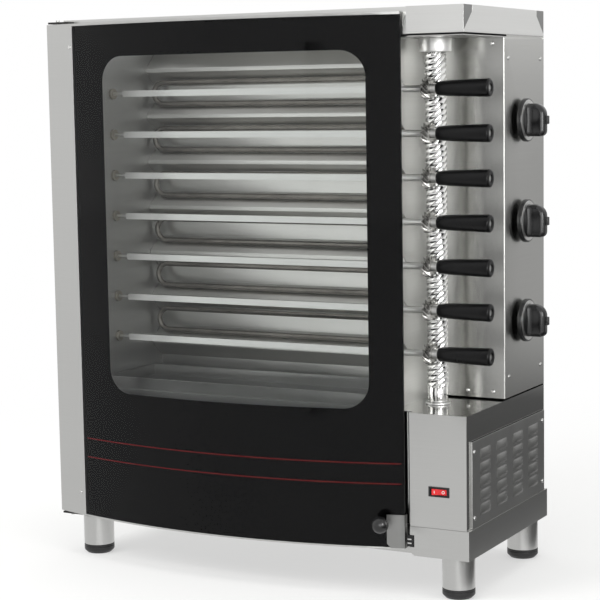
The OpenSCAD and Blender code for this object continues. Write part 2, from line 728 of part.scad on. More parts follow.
// Channel-shaped stile at the hinges, with rails and a strap that hold the glass from behind
module door_frame() {
    rebate = glass_t + border_t + 0.1;
    step_x = glass_x0 - seat_gap;
    strap = 22;
    lug = hinge_pin_dia / 2 + 2;
    color(steel) {
        difference() {
            bowed(door_r, rebate + sheet, door_x0, door_x1, door_z0, door_z1);
            bowed(door_r + cut, rebate + cut, step_x, door_x1 + cut, glass_z0, glass_z1);
            bowed(door_r - sheet, rebate + cut, door_x0 + sheet, step_x - sheet,
                door_z0 + sheet, door_z1 - sheet);
            block([glass_x0 + strap, -door_bow, door_z0 + strap], [door_x1 + cut, recess, door_z1 - strap]);
        }
        for (z = [door_z0 + 0.4, door_z1 - sheet - 1.4]) translate([hinge_x, hinge_y, z]) {
            cylinder(r = lug, h = sheet + 1);
            block([-lug, -hinge_y - 2, 0], [lug, 0, sheet + 1]);
        }
        // Hinge pins, with a collar on the lower one that carries the door
        translate([hinge_x, hinge_y, door_z1 - sheet])
            cylinder(d = hinge_pin_dia, h = sheet + door_gap + bracket_t + 3);
        translate([hinge_x, hinge_y, door_z0 - door_gap - bracket_t - 3])
            cylinder(d = hinge_pin_dia, h = sheet + door_gap + bracket_t + 3);
        translate([hinge_x, hinge_y, door_z0 - door_gap + seat_gap])
            cylinder(d = 2 * hinge_pin_dia - 2.5, h = door_gap + 0.5);
    }
}

module latch_plate() color(bright_steel) difference() {
    union() {
        bowed(door_r + latch_t, latch_t, door_x1 - latch_w, door_x1, latch_z, latch_z + latch_h);
        block([door_x1 + seat_gap, -latch_t, latch_z], [door_x1 + seat_gap + latch_t, 8, latch_z + latch_h]);
        block([door_x1 + 0.05, -latch_t, latch_z], [door_x1 + seat_gap + latch_t, -0.05, latch_z + latch_h]);
    }
    translate([door_x1 - latch_w, recess, latch_z]) rotate([90, 0, 0])
        linear_extrude(2 * door_bow) polygon([[-cut, -cut], [7, -cut], [0, 7], [-cut, 7]]);
}

module ball_knob() color(dark)
    translate([ball_x, door_y(ball_x), ball_z]) rotate([90, 0, door_ang(ball_x)]) rotate_extrude() {
        difference() {
            union() {
                translate([0, ball_stand]) circle(d = ball_dia);
                translate([-neck_dia / 2, seat_gap]) square([neck_dia, ball_stand]);
            }
            translate([-ball_dia, -1]) square([ball_dia, 2 * ball_stand + ball_dia]);
        }
    }

// ---- Worm and skewers ----

// Tooth outline with the flanks as straight lines between root and tip
function worm_outline() = [for (i = [0:teeth - 1]) each [
    polar(worm_root_r, (i - 0.5) * 360 / teeth),
    polar(tip_r, i * 360 / teeth - worm_tip_half),
    polar(tip_r, i * 360 / teeth + worm_tip_half)
]];

function gear_outline() = [for (i = [0:teeth - 1]) each [
    polar(gear_root_r, i * 360 / teeth - gear_root_half),
    polar(tip_r, i * 360 / teeth - gear_tip_half),
    polar(tip_r, i * 360 / teeth + gear_tip_half),
    polar(gear_root_r, i * 360 / teeth + gear_root_half)
]];

function polar(r, a) = [r * cos(a), r * sin(a)];

// Turn of a gear that puts a gap in front of the worm tooth it meets
function gear_phase(i) = 180 / teeth - 90 - 360 * (skewer_z(i) - worm_z0) / lead;

module worm_teeth() color(bright_steel) translate([worm_x, worm_y, worm_z0])
    linear_extrude(worm_z1 - worm_z0, twist = -360 * (worm_z1 - worm_z0) / lead,
        slices = ceil(24 * (worm_z1 - worm_z0) / lead)) polygon(worm_outline());

module worm_journals() color(bright_steel) translate([worm_x, worm_y, 0]) {
    translate([0, 0, worm_z0 - journal_len]) cylinder(r = tip_r - 0.6, h = journal_len);
    translate([0, 0, gearbox_z1 - 16]) cylinder(d = drive_dia, h = worm_z0 - journal_len - gearbox_z1 + 16);
    translate([0, 0, worm_z1]) cylinder(d = spigot_dia, h = bearing_h - 2);
}

module skewer_rod(i) color(bright_steel) translate([0, skewer_y, skewer_z(i)]) {
    on_x_axis(tip_x0 + 3, 0, 0) cylinder(d = tip_dia, h = bar_x0 - tip_x0 - 3);
    on_x_axis(tip_x0, 0, 0) cylinder(d1 = 1.5, d2 = tip_dia, h = 3);
    block([bar_x0, -bar_side / 2, -bar_side / 2], [bar_x1, bar_side / 2, bar_side / 2]);
    on_x_axis(bar_x1, 0, 0) cylinder(d = shaft_dia, h = handle_x1 - bar_x1 - 2);
    on_x_axis(gear_x1, 0, 0) cylinder(d = shaft_dia + 4.5, h = handle_x0 - gear_x1 - seat_gap);
}

module skewer_gear(i) color([0.6, 0.6, 0.58]) translate([gear_x0, skewer_y, skewer_z(i)])
    rotate([gear_phase(i) - 180 * gear_w / lead, 0, 0]) rotate([90, 0, 90]) difference() {
        linear_extrude(gear_w, twist = -360 * gear_w / lead, slices = 4) polygon(gear_outline());
        translate([0, 0, -cut])
            cylinder(r = (shaft_dia / 2 + 0.05) / cos(15), h = gear_w + 2 * cut, $fn = 12);
    }

module skewer_handle(i) color(dark) translate([handle_x0, skewer_y, skewer_z(i)]) rotate([0, 90, 0])
    rotate_extrude() {
        bore = shaft_dia / 2 + 0.05;
        edge = 3;
        r0 = handle_dia_in / 2;
        r1 = handle_dia_out / 2;
        polygon([[bore, 0], [r0 - 1.5, 0], [r0, 1.5], [r1, handle_len - edge], [r1 - edge, handle_len - edge],
            [r1 - edge, handle_len], [bore, handle_len]]);
        intersection() {
            translate([r1 - edge, handle_len - edge]) circle(edge);
            translate([bore, handle_len - 2 * edge]) square([r1, 2 * edge]);
        }
    }

// ---- Knobs and feet ----

// Side view of the grip, x downward: a wide round above, a tight one below
module grip_profile(half, z0, z1) {
    wide = 18;
    tight = 9;
    translate([-half, z0]) square([2 * half, z1 - wide - z0]);
    translate([wide - half, z0]) square([2 * half - wide - tight, z1 - z0]);
    translate([0, z0]) square([half, z1 - tight - z0]);
    translate([wide - half, z1 - wide]) circle(wide);
    translate([half - tight, z1 - tight]) circle(tight);
}

module heat_knob(i) color(dark) on_x_axis(cab_w, knob_y, knob_z(i)) difference() {
    r = knob_dia / 2;
    grip_r = 0.76 * r;
    crown = knob_depth - 4;
    union() {
        rotate_extrude() polygon([[0, knob_gap], [17, knob_gap], [17, 5], [r - 1, 5], [r, 6], [r, 11],
            [r - 1.5, 12.5], [grip_r + 1, 13], [grip_r - 1, 18], [0, 18]]);
        intersection() {
            translate([0, 0, 10]) cylinder(r = grip_r, h = knob_depth - 10);
            rotate([90, 0, 0]) linear_extrude(grip_w, center = true) grip_profile(grip_r + 0.5, 10, crown);
        }
        translate([-6.5, -4, crown - 5]) cube([13, 8, 9]);
    }
    cylinder(d = spindle_dia + 2 * run_gap, h = spindle_reach + 1);
}

module foot(i) color(dark) translate([leg_x(i), leg_y(i), 0]) rotate_extrude() {
    r = leg_dia / 2;
    polygon([[0, 0], [r - foot_chamfer, 0], [r, foot_chamfer], [r, foot_h], [r - leg_wall - run_gap, foot_h],
        [r - leg_wall - run_gap, foot_h + foot_plug_len], [0, foot_h + foot_plug_len]]);
}

at_origin() base_plinth();
at_origin() left_side_panel();
at_origin() cavity_left_wall();
at_origin() cavity_right_wall();
at_origin() cavity_floor();
at_origin() ceiling_sheet();
at_origin() back_panel();
at_origin() reflector_sheet();
at_origin() heating_elements();
at_origin() drip_tray();
at_origin() tip_bushes();
at_origin() top_cover();
at_origin() control_housing();
at_origin() motor_box();
at_origin() motor_front_panel();
at_origin() vent_panel();
at_origin() worm_bearings();
at_origin() gear_motor();
at_origin() switch_bezel();
at_origin() hinge_brackets();
at_origin() magnetic_catch();
at_origin() heat_controls();
at_origin() cable_gland();
at_origin() panel_screws();
at_origin() door_glass();
at_origin() door_border();
at_origin() door_frame();
at_origin() latch_plate();
at_origin() ball_knob();
at_origin() worm_teeth();
at_origin() worm_journals();
at_origin() switch_rocker();
for (i = [1:skewers]) {
    at_origin() skewer_rod(i);
    at_origin() skewer_gear(i);
    at_origin() skewer_handle(i);
}
for (i = [1:knobs]) at_origin() heat_knob(i);
for (i = [1:4]) at_origin() foot(i);
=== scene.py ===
import json
import math
import bpy
import bmesh
from mathutils import Matrix, Vector

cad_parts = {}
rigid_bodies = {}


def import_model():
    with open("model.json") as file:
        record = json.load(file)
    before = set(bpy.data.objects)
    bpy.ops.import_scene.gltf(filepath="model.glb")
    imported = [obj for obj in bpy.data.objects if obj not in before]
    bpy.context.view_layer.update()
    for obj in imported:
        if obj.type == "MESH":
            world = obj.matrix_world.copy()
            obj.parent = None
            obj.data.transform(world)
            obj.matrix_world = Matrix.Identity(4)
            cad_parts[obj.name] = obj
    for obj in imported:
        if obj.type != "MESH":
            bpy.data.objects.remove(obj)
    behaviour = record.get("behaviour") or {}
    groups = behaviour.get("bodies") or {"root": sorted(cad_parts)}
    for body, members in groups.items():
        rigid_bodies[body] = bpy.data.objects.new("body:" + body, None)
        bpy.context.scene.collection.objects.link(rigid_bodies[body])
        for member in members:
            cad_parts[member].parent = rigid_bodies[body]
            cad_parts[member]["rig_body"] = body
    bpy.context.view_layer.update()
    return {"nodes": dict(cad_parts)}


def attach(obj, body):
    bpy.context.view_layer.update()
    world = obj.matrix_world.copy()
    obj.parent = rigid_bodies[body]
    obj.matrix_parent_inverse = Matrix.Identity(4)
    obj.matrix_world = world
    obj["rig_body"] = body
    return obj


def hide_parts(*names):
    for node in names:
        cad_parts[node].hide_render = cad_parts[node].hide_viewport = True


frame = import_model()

# Cabinet layout in millimetres: x from the left side, y from the front, z from the floor
cabinet = {"originX": 364.0, "originY": 147.0, "width": 708.0, "depth": 322.0, "housingFront": 154.0,
           "cornerRound": 2.2}


def place(x, y, z):
    return Vector(((x - cabinet["originX"]) / 1000, (y - cabinet["originY"]) / 1000, z / 1000))


def linear(hexColour):
    channels = [int(hexColour[i:i + 2], 16) / 255 for i in (1, 3, 5)]
    return tuple(c / 12.92 if c <= 0.04045 else ((c + 0.055) / 1.055) ** 2.4 for c in channels) + (1.0,)


def addNode(material, kind, inputs=None, **settings):
    # Adds a node; an input is another node's socket, a number or a hex colour
    node = material.node_tree.nodes.new(kind)
    for name, value in settings.items():
        setattr(node, name, value)
    for name, value in (inputs or {}).items():
        if isinstance(value, bpy.types.NodeSocket):
            material.node_tree.links.new(value, node.inputs[name])
        else:
            node.inputs[name].default_value = linear(value) if isinstance(value, str) else value
    return node


def newMaterial(name, sockets):
    material = bpy.data.materials.new(name)
    material.use_nodes = True
    shader = material.node_tree.nodes["Principled BSDF"]
    for key, value in sockets.items():
        shader.inputs[key].default_value = linear(value) if isinstance(value, str) else value
    return material, shader


def surfaceGrain(material, cyclesPerMetre, detail=3.0):
    # Noise fixed to the piece, with its own number of cycles per metre along each axis
    coords = addNode(material, "ShaderNodeTexCoord")
    mapping = addNode(material, "ShaderNodeMapping",
                      {"Vector": coords.outputs["Object"], "Scale": cyclesPerMetre})
    return addNode(material, "ShaderNodeTexNoise", {"Vector": mapping.outputs["Vector"], "Scale": 1.0,
                                                    "Detail": detail, "Roughness": 0.55}).outputs["Fac"]


def finishWith(material, shader, colour, roughness, height=None, strength=0.1):
    links = material.node_tree.links
    links.new(colour, shader.inputs["Base Color"])
    links.new(roughness, shader.inputs["Roughness"])
    if height is not None:
        bump = addNode(material, "ShaderNodeBump", {"Height": height, "Strength": strength, "Distance": 0.0001})
        links.new(bump.outputs["Normal"], shader.inputs["Normal"])
    return material


def mottled(material, pattern, low, high, dark, light, roughness, spread):
    # A colour and a roughness that follow a pattern between two of its levels
    share = addNode(material, "ShaderNodeMapRange", {"Value": pattern, "From Min": low, "From Max": high}).outputs[0]
    colour = addNode(material, "ShaderNodeMix", {0: share, 6: dark, 7: light}, data_type="RGBA").outputs[2]
    rough = addNode(material, "ShaderNodeMapRange", {
        "Value": pattern, "From Min": low, "From Max": high,
        "To Min": roughness - spread, "To Max": roughness + spread})
    return colour, rough.outputs[0]


# A metal whose surface is drawn, brushed or turned: fine lines along the grain, faint clouds across the sheet.
# Brushing along the sheet pulls every reflection up and down, so brushed sheets get an upright tangent.
def grainedMetal(name, dark, light, roughness, grain, strength=0.02, spread=0.03, cloud=9.0, pulled=0.0):
    material, shader = newMaterial(name, {"Metallic": 1.0, "Anisotropic": pulled})
    if pulled:
        facing = addNode(material, "ShaderNodeNewGeometry").outputs["Normal"]
        upright = addNode(material, "ShaderNodeVectorMath", {0: facing, 1: (1, 1, 0)}, operation="CROSS_PRODUCT")
        material.node_tree.links.new(upright.outputs[0], shader.inputs["Tangent"])
    lines = surfaceGrain(material, grain, 4.0)
    clouds = surfaceGrain(material, (cloud, cloud, cloud), 2.0)
    both = addNode(material, "ShaderNodeMath", {0: lines, 1: clouds}, operation="ADD").outputs[0]
    colour, rough = mottled(material, both, 0.7, 1.3, dark, light, roughness, spread)
    return finishWith(material, shader, colour, rough, lines, strength)


# A moulded or fired surface: one colour with faint mottling and a fine texture
def mouldedSurface(name, dark, light, roughness, sockets, grainMm=1.2, strength=0.05, spread=0.05):
    material, shader = newMaterial(name, sockets)
    fine = surfaceGrain(material, (1000 / grainMm,) * 3, 2.0)
    clouds = surfaceGrain(material, (25, 25, 25), 2.0)
    colour, rough = mottled(material, clouds, 0.3, 0.7, dark, light, roughness, spread)
    return finishWith(material, shader, colour, rough, fine, strength)


# Cold-rolled stainless sheet, brushed along its length: soft, wide reflections with a fine horizontal grain.
# The real grain is about 0.1 mm, drawn 1.2 mm coarse so that it shows.
brushedSheet = grainedMetal("brushed stainless sheet", "#BDBDBB", "#C2C2C0", 0.30, (6, 6, 800),
                            strength=0.008, spread=0.012, cloud=3.0, pulled=0.5)
# The same sheet on the cover, painted a little paler as painted light on the top of the grill
paleLitSheet = grainedMetal("brushed stainless sheet painted pale as light", "#D4D4D2", "#D9D9D7", 0.30, (6, 6, 800),
                          strength=0.008, spread=0.012, cloud=3.0, pulled=0.5)
# Inner side wall of the bay: satin, so that it gathers light; its colour is painted nearly white as painted light
litBayWallSheet = grainedMetal("satin stainless sheet painted near white as light", "#DEDEDC", "#E4E4E2", 0.38, (6, 6, 400),
                            strength=0.005, spread=0.02, cloud=4.0, pulled=0.5)
# The same sheet with a bright finish: nearly a mirror, with slow waves
brightSheet = grainedMetal(
    "bright stainless sheet", "#BDBDBB", "#C3C3C1", 0.12, (5, 5, 400), strength=0.008, spread=0.02, cloud=4.0)
# Fine polished sheet of the control housing: it shows soft upright bands of what stands before it
polishedHousing = grainedMetal("fine polished stainless sheet", "#BEBEBB", "#C3C3C0", 0.26, (6, 6, 600),
                               strength=0.005, spread=0.012, cloud=4.0, pulled=0.85)
# The tabs at the mitred corners: stainless sheet painted darker than the polished faces, as painted shade on the
# upright tabs
shadedTabSheet = grainedMetal("stainless sheet painted dark as shade", "#7F7F7E", "#8B8B8A", 0.36, (40, 40, 40), spread=0.04)
# Cavity walls and floor: stainless, dulled evenly by heat
dulledSheet = grainedMetal(
    "heat-dulled stainless sheet", "#A9A9A8", "#B0B0AF", 0.44, (8, 8, 200), spread=0.02, cloud=5.0)
# Reflector sheet: bright rolled aluminium, dulled in patches by heat
reflectorSheet = grainedMetal(
    "rolled aluminium reflector", "#DCDBD8", "#E8E7E4", 0.36, (4, 60, 60), strength=0.03, spread=0.06, cloud=7.0)
# Drip tray and latch plate: satin pressed steel, even and a little dull
traySheet = grainedMetal(
    "satin pressed steel", "#8A8A88", "#919190", 0.38, (30, 30, 30), strength=0.03, spread=0.02)
# Zinc-plated pressing, a little milky: vent panel
platedSheet = grainedMetal("zinc plated sheet", "#C6C6C4", "#CCCCCA", 0.32, (30, 30, 30))
# The drawn hoods of the vent panel, duller than the panel
louvreSheet = grainedMetal("drawn zinc plated sheet", "#A4A4A2", "#B0B0AE", 0.45, (30, 30, 30))
# Hobbed and turned worm: bright flanks with sharp highlights
turnedSteel = grainedMetal("turned bright steel", "#D6D6D4", "#E6E6E4", 0.12, (60, 60, 900), cloud=20.0)
# Satin turned bearing housings: soft and nearly white
satinSteel = grainedMetal("satin turned steel", "#E6E6E4", "#F0F0EE", 0.42, (60, 60, 400), cloud=20.0)
# Hobbed gears, oiled: bright tooth edges, darker grey in the gaps
gearSteel = grainedMetal(
    "hobbed gear steel", "#8B8A87", "#B4B3B0", 0.22, (900, 60, 60), strength=0.06, spread=0.06, cloud=30.0)
# Cold-drawn skewer bar: bright, with lines along the bar
skewerSteel = grainedMetal(
    "cold drawn stainless bar", "#CDCDCB", "#DDDDDB", 0.34, (8, 700, 700), strength=0.04, spread=0.05, cloud=12.0)
# Stainless screws: plain and bright
screwSteel = grainedMetal(
    "plain stainless screw", "#C4C4C2", "#DADAD8", 0.20, (300, 300, 300), strength=0.05, spread=0.05, cloud=40.0)
# Sintered bronze bush, greyed by heat
bushBronze = grainedMetal(
    "sintered bronze", "#8F8A80", "#A8A399", 0.36, (500, 500, 500), strength=0.08, spread=0.06, cloud=40.0)
# Heater sheath: nickel alloy oxidised brown-grey by heat
heaterSheath = grainedMetal(
    "oxidised heater sheath", "#716D68", "#94908A", 0.38, (30, 120, 120), strength=0.05, spread=0.06, cloud=14.0)
# Hinge bracket: plate steel in a near-black grey
nearBlackPlate = grainedMetal(
    "near black steel plate", "#2E2D2C", "#474645", 0.40, (80, 80, 80), strength=0.08, spread=0.06, cloud=20.0)
# Spun aluminium dial ring in the knob: pale, with turned lines
dialRing = grainedMetal(
    "spun aluminium ring", "#D2D2D0", "#E2E2E0", 0.32, (200, 200, 200), strength=0.04, spread=0.04, cloud=30.0)
# Hammered grey enamel on the motor
motorEnamel = mouldedSurface("grey motor enamel", "#565C63", "#666D75", 0.42, {}, grainMm=3.0, strength=0.25)
# Skewer grips: deep black bakelite, semi-gloss, with a soft moulded skin
blackPhenolic = mouldedSurface(
    "moulded black phenolic", "#060607", "#0B0B0C", 0.32, {"Specular IOR Level": 0.25}, grainMm=0.9, strength=0.03)
# Knobs and the door ball: the same, polished, and painted a little lighter than the grips as painted light on their
# flanks
litPolishedPhenolic = mouldedSurface(
    "polished black phenolic painted lighter as light", "#131314", "#1A1A1B", 0.20, {"Specular IOR Level": 0.6}, grainMm=0.9, strength=0.02)
# Nylon switch body and catch: black, a little dull
blackNylon = mouldedSurface(
    "moulded black nylon", "#0E0E0F", "#171718", 0.42, {"Specular IOR Level": 0.4}, grainMm=0.8, strength=0.08)
# Rubbery polythene feet: black with a grey bloom
footPolythene = mouldedSurface("moulded black polythene", "#151515", "#242424", 0.48, {}, grainMm=1.5, strength=0.1)
# Polycarbonate rocker: saturated red, glossy
rockerRed = mouldedSurface(
    "red polycarbonate", "#D3121A", "#E81E24", 0.24, {"Coat Weight": 0.3}, grainMm=0.8, strength=0.02)
# Printed marks on the rocker
markWhite = mouldedSurface("white marking ink", "#E6E6E2", "#F4F4F1", 0.5, {}, grainMm=0.5, strength=0.02)
# Steatite control bodies: off-white, dry
controlCeramic = mouldedSurface("steatite ceramic", "#CFCBC0", "#DDD9CF", 0.62, {}, grainMm=0.7, strength=0.1)


# Toughened float glass: clear, with very slow waves. Its IOR is matched down from 1.52 to the weak reflection of
# the photographed door.
def clearFloatGlass():
    material, shader = newMaterial("toughened float glass", {
        "Base Color": "#FCFEFD", "Transmission Weight": 1.0, "IOR": 1.26, "Roughness": 0.0})
    waves = addNode(material, "ShaderNodeBump", {
        "Height": surfaceGrain(material, (3, 3, 3), 1.0), "Strength": 0.02, "Distance": 0.001})
    material.node_tree.links.new(waves.outputs["Normal"], shader.inputs["Normal"])
    return material


floatGlass = clearFloatGlass()

# Two thin red lines printed on the enamel: their heights over the floor, thickness, and ends across the door
redLines = {"heights": (202.0, 171.0), "thickness": 1.7, "left": 43.0, "right": 600.5}


# Black ceramic enamel fired on the back of the glass, with two printed red lines low on the door
def firedEnamel():
    material, shader = newMaterial("fired black enamel", {"Specular IOR Level": 0.0})
    clouds = surfaceGrain(material, (6, 6, 6), 2.0)
    black, rough = mottled(material, clouds, 0.3, 0.7, "#040405", "#080809", 0.2, 0.04)
    coords = addNode(material, "ShaderNodeTexCoord")
    axes = addNode(material, "ShaderNodeSeparateXYZ", {0: coords.outputs["Object"]})
    onHeights = [addNode(material, "ShaderNodeMath", {
        0: axes.outputs["Z"], 1: height / 1000, 2: redLines["thickness"] / 2000}, operation="COMPARE").outputs[0]
        for height in redLines["heights"]]
    onHeight = addNode(material, "ShaderNodeMath", {
        0: onHeights[0], 1: onHeights[1]}, operation="MAXIMUM").outputs[0]
    left, right = place(redLines["left"], 0, 0).x, place(redLines["right"], 0, 0).x
    across = addNode(material, "ShaderNodeMath", {
        0: axes.outputs["X"], 1: (left + right) / 2, 2: (right - left) / 2}, operation="COMPARE").outputs[0]
    printed = addNode(material, "ShaderNodeMath", {0: onHeight, 1: across}, operation="MULTIPLY").outputs[0]
    colour = addNode(material, "ShaderNodeMix", {0: printed, 6: black, 7: "#781A1E"}, data_type="RGBA").outputs[2]
    return finishWith(material, shader, colour, rough)


enamelBlack = firedEnamel()
print("materials made:", len(bpy.data.materials))


def workingCopy(nodeName):
    # A CAD node's mesh with its seams merged and its flats made whole again
    shape = bmesh.new()
    shape.from_mesh(frame["nodes"][nodeName].data)
    bmesh.ops.remove_doubles(shape, verts=shape.verts, dist=0.000002)
    bmesh.ops.dissolve_limit(shape, angle_limit=math.radians(0.03), verts=shape.verts, edges=shape.edges)
    return shape


def foldedCorner(shape, x, y, radiusMm):
    # Rounds the upright edges at one corner of a folded sheet
    corner = place(x, y, 0)
    edges = [edge for edge in shape.edges if all(
        abs(vert.co.x - corner.x) < 0.0002 and abs(vert.co.y - corner.y) < 0.0002 for vert in edge.verts)]
    bmesh.ops.bevel(shape, geom=edges, offset=radiusMm / 1000, segments=5, profile=0.5, affect="EDGES",
                    clamp_overlap=True, material=-1)
    return shape


def sliced(shape, point, normal, clearOuter=False):
    # Cuts a whole shape along a plane, and can take away the side that the normal points to
    return bmesh.ops.bisect_plane(shape, geom=shape.verts[:] + shape.edges[:] + shape.faces[:], dist=0.0000001,
                                  plane_co=point, plane_no=normal, clear_outer=clearOuter)


def thickened(shape, faces, offset):
    # Draws faces out to a solid along a vector in metres
    extruded = bmesh.ops.extrude_face_region(shape, geom=faces)
    far = [item for item in extruded["geom"] if isinstance(item, bmesh.types.BMVert)]
    bmesh.ops.translate(shape, vec=offset, verts=far)


def outward(shape):
    # Points the faces of a closed shape outwards
    bmesh.ops.recalc_face_normals(shape, faces=shape.faces)
    return shape


def facingRight(shape):
    # Points the faces of an open sheet to the cabinet's right, before it gets its thickness
    outward(shape)
    if sum(face.normal.x * face.calc_area() for face in shape.faces) < 0:
        bmesh.ops.reverse_faces(shape, faces=shape.faces)


def turned(profile, steps=64, closed=False):
    # Spins a profile of (radius, height) pairs in millimetres round the Z axis
    shape = bmesh.new()
    points = [shape.verts.new((r / 1000, 0, h / 1000)) for r, h in profile]
    pairs = list(zip(points, points[1:])) + ([(points[-1], points[0])] if closed else [])
    lines = [shape.edges.new(pair) for pair in pairs]
    bmesh.ops.spin(shape, geom=points + lines, axis=(0, 0, 1), cent=(0, 0, 0), angle=math.tau, steps=steps,
                   use_merge=True, use_duplicate=False)
    bmesh.ops.remove_doubles(shape, verts=shape.verts, dist=0.000001)
    return outward(shape)


def cuboid(low, high, bevelMm=0.0):
    # A box between two corners in millimetres, with its edges rounded
    shape = bmesh.new()
    bmesh.ops.create_cube(shape, size=1.0)
    low, high = Vector(low) / 1000, Vector(high) / 1000
    bmesh.ops.scale(shape, vec=high - low, verts=shape.verts)
    bmesh.ops.translate(shape, vec=(low + high) / 2, verts=shape.verts)
    if bevelMm:
        bmesh.ops.bevel(shape, geom=shape.edges[:], offset=bevelMm / 1000, segments=2, profile=0.5,
                        affect="EDGES", clamp_overlap=True, material=-1)
    return shape


def merged(shapes):
    # Joins several shapes into the first
    first = shapes[0]
    for other in shapes[1:]:
        spare = bpy.data.meshes.new("spare")
        other.to_mesh(spare)
        other.free()
        first.from_mesh(spare)
        bpy.data.meshes.remove(spare)
    return first


def moved(shape, matrix):
    bmesh.ops.transform(shape, matrix=matrix, verts=shape.verts)
    return shape


def alongX(x, y, z):
    # Turns a shape's own Z to the cabinet's X and sets it down at a place in the cabinet
    return Matrix.Translation(place(x, y, z)) @ Matrix.Rotation(math.radians(90), 4, "Y")


def standing(x, y, z):
    return Matrix.Translation(place(x, y, z))


def meshObject(name, shape):
    # Puts a shape in the scene under its name
    mesh = bpy.data.meshes.new(name)
    shape.to_mesh(mesh)
    shape.free()
    holder = bpy.data.objects.new(name, mesh)
    bpy.context.scene.collection.objects.link(holder)
    return holder


def finishPiece(name, shape, material, body, nodes, bevelMm=0.0, segments=2, sharpDegrees=32.0):
    piece = meshObject(name, shape)
    piece.data.shade_smooth()
    piece.data.set_sharp_from_angle(angle=math.radians(sharpDegrees))
    piece.data.materials.clear()
    piece.data.materials.append(material)
    if bevelMm:
        rounding = piece.modifiers.new("rounding", "BEVEL")
        rounding.width = bevelMm / 1000
        rounding.segments = segments
        rounding.limit_method = "ANGLE"
        rounding.angle_limit = math.radians(sharpDegrees)
        rounding.harden_normals = True
        rounding.use_clamp_overlap = True
    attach(piece, body)
    if nodes:
        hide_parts(*nodes)


# Sheet and other CAD pieces that only get rounded edges. Name: (CAD node, material, slot, rounding in millimetres)
dressedNodes = {
    "plinthTray": ("base_plinth", brushedSheet, "stainless_sheet", 0.5),
    "leftSide": ("left_side_panel", brushedSheet, "stainless_sheet", 0.4),
    "leftCavityWall": ("cavity_left_wall", dulledSheet, "stainless_sheet", 0.4),
    "rightCavityWall": ("cavity_right_wall", litBayWallSheet, "stainless_sheet", 0.3),
    "cavityFloor": ("cavity_floor", dulledSheet, "stainless_sheet", 0.4),
    "ceilingSheet": ("ceiling_sheet", brushedSheet, "stainless_sheet", 0.4),
    "backSheet": ("back_panel", brushedSheet, "stainless_sheet", 0.4),
    "foldedReflector": ("reflector_sheet", reflectorSheet, "polished_sheet", 0.4),
    "hairpinHeaters": ("heating_elements", heaterSheath, "heater_sheath", 0.0),
    "dripTray": ("drip_tray", traySheet, "tray_sheet", 0.3),
    "tipBushes": ("tip_bushes", bushBronze, "bush_bronze", 0.3),
    "coverLid": ("top_cover", paleLitSheet, "stainless_sheet", 0.5),
    "controlHousing": ("control_housing", polishedHousing, "stainless_sheet", 0.5),
    "motorBox": ("motor_box", brightSheet, "polished_sheet", 0.5),
    "motorFront": ("motor_front_panel", brushedSheet, "stainless_sheet", 0.4),
    "gearMotor": ("gear_motor", motorEnamel, "motor_enamel", 0.8),
    "switchBezel": ("switch_bezel", blackNylon, "black_plastic", 0.3),
    "hingeBrackets": ("hinge_brackets", nearBlackPlate, "stainless_sheet", 0.4),
    "catchBlock": ("magnetic_catch", blackNylon, "black_plastic", 0.3),
    "heatControls": ("heat_controls", controlCeramic, "control_ceramic", 0.6),
    "cableGland": ("cable_gland", blackNylon, "black_plastic", 0.4),
    "doorStile": ("door_frame", brushedSheet, "stainless_sheet", 0.3),
    "wormTeeth": ("worm_teeth", turnedSteel, "turned_steel", 0.0),
}
for pieceName, (nodeName, material, slotName, rounding) in dressedNodes.items():
    shape = workingCopy(nodeName)
    if nodeName == "control_housing":
        foldedCorner(shape, cabinet["width"], cabinet["housingFront"], cabinet["cornerRound"])
    finishPiece(pieceName, shape, material, frame["nodes"][nodeName]["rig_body"], [nodeName], rounding)
print("dressed sheet pieces:", len(dressedNodes))

# Tabs let into the mitred corners of the right fascia, painted darker as shade: y and z of each outline, seen from the
# right
tabs = {"face": 707.28, "thickness": 0.4, "edge": 0.1, "narrow": 1.0, "wide": 30.6, "low": 845.2, "bend": 871.8,
        "top": 880.8}


def mitreTab(rear):
    shape = bmesh.new()
    outline = ((tabs["edge"], tabs["low"]), (tabs["narrow"], tabs["low"]), (tabs["wide"], tabs["bend"]),
               (tabs["wide"], tabs["top"]), (tabs["edge"], tabs["top"]))
    points = [place(tabs["face"], cabinet["depth"] - y if rear else y, z) for y, z in outline]
    face = shape.faces.new([shape.verts.new(point) for point in (reversed(points) if rear else points)])
    thickened(shape, [face], (tabs["thickness"] / 1000, 0, 0))
    return outward(shape)


finishPiece("mitreTabs", merged([mitreTab(False), mitreTab(True)]), shadedTabSheet, "cabinet", ())
print("mitre tabs made")

# The worm's wide upper bearing and the collar that it stands in, each (low, high, radius, bore), and the plain
# ends of the worm, each (low, high, radius)
wormAxis = {"x": 623.0, "y": 90.684}
bearing = {"upper": (816.0, 837.0, 24.0, 10.08), "collar": (281.5, 284.5, 19.25, 7.08), "edge": 0.8,
           "boreEdge": 0.3}
journal = {"drive": (246.0, 284.8, 7.0), "body": (284.8, 308.8, 15.54), "spigot": (815.5, 834.5, 10.0),
           "edge": 0.5}


def ring(low, high, radius, bore):
    edge, soft, chamfer = bearing["edge"], bearing["edge"] * 0.3, bearing["boreEdge"]
    return turned([(bore, low + chamfer), (bore + chamfer, low), (radius - edge, low), (radius - soft, low + soft),
                   (radius, low + edge), (radius, high - edge), (radius - soft, high - soft),
                   (radius - edge, high), (bore + chamfer, high), (bore, high - chamfer)], 96, closed=True)


def journalShape():
    profile = [(0, journal["drive"][0])]
    for low, high, radius in (journal["drive"], journal["body"]):
        profile += [(radius - journal["edge"], low), (radius, low + journal["edge"]),
                    (radius, high - journal["edge"]), (radius - journal["edge"], high)]
    return turned(profile + [(0, journal["body"][1])], 96)


def spigotShape():
    low, high, radius = journal["spigot"]
    edge = journal["edge"]
    return turned([(0, low), (radius, low), (radius, high - edge), (radius - edge, high), (0, high)], 64)


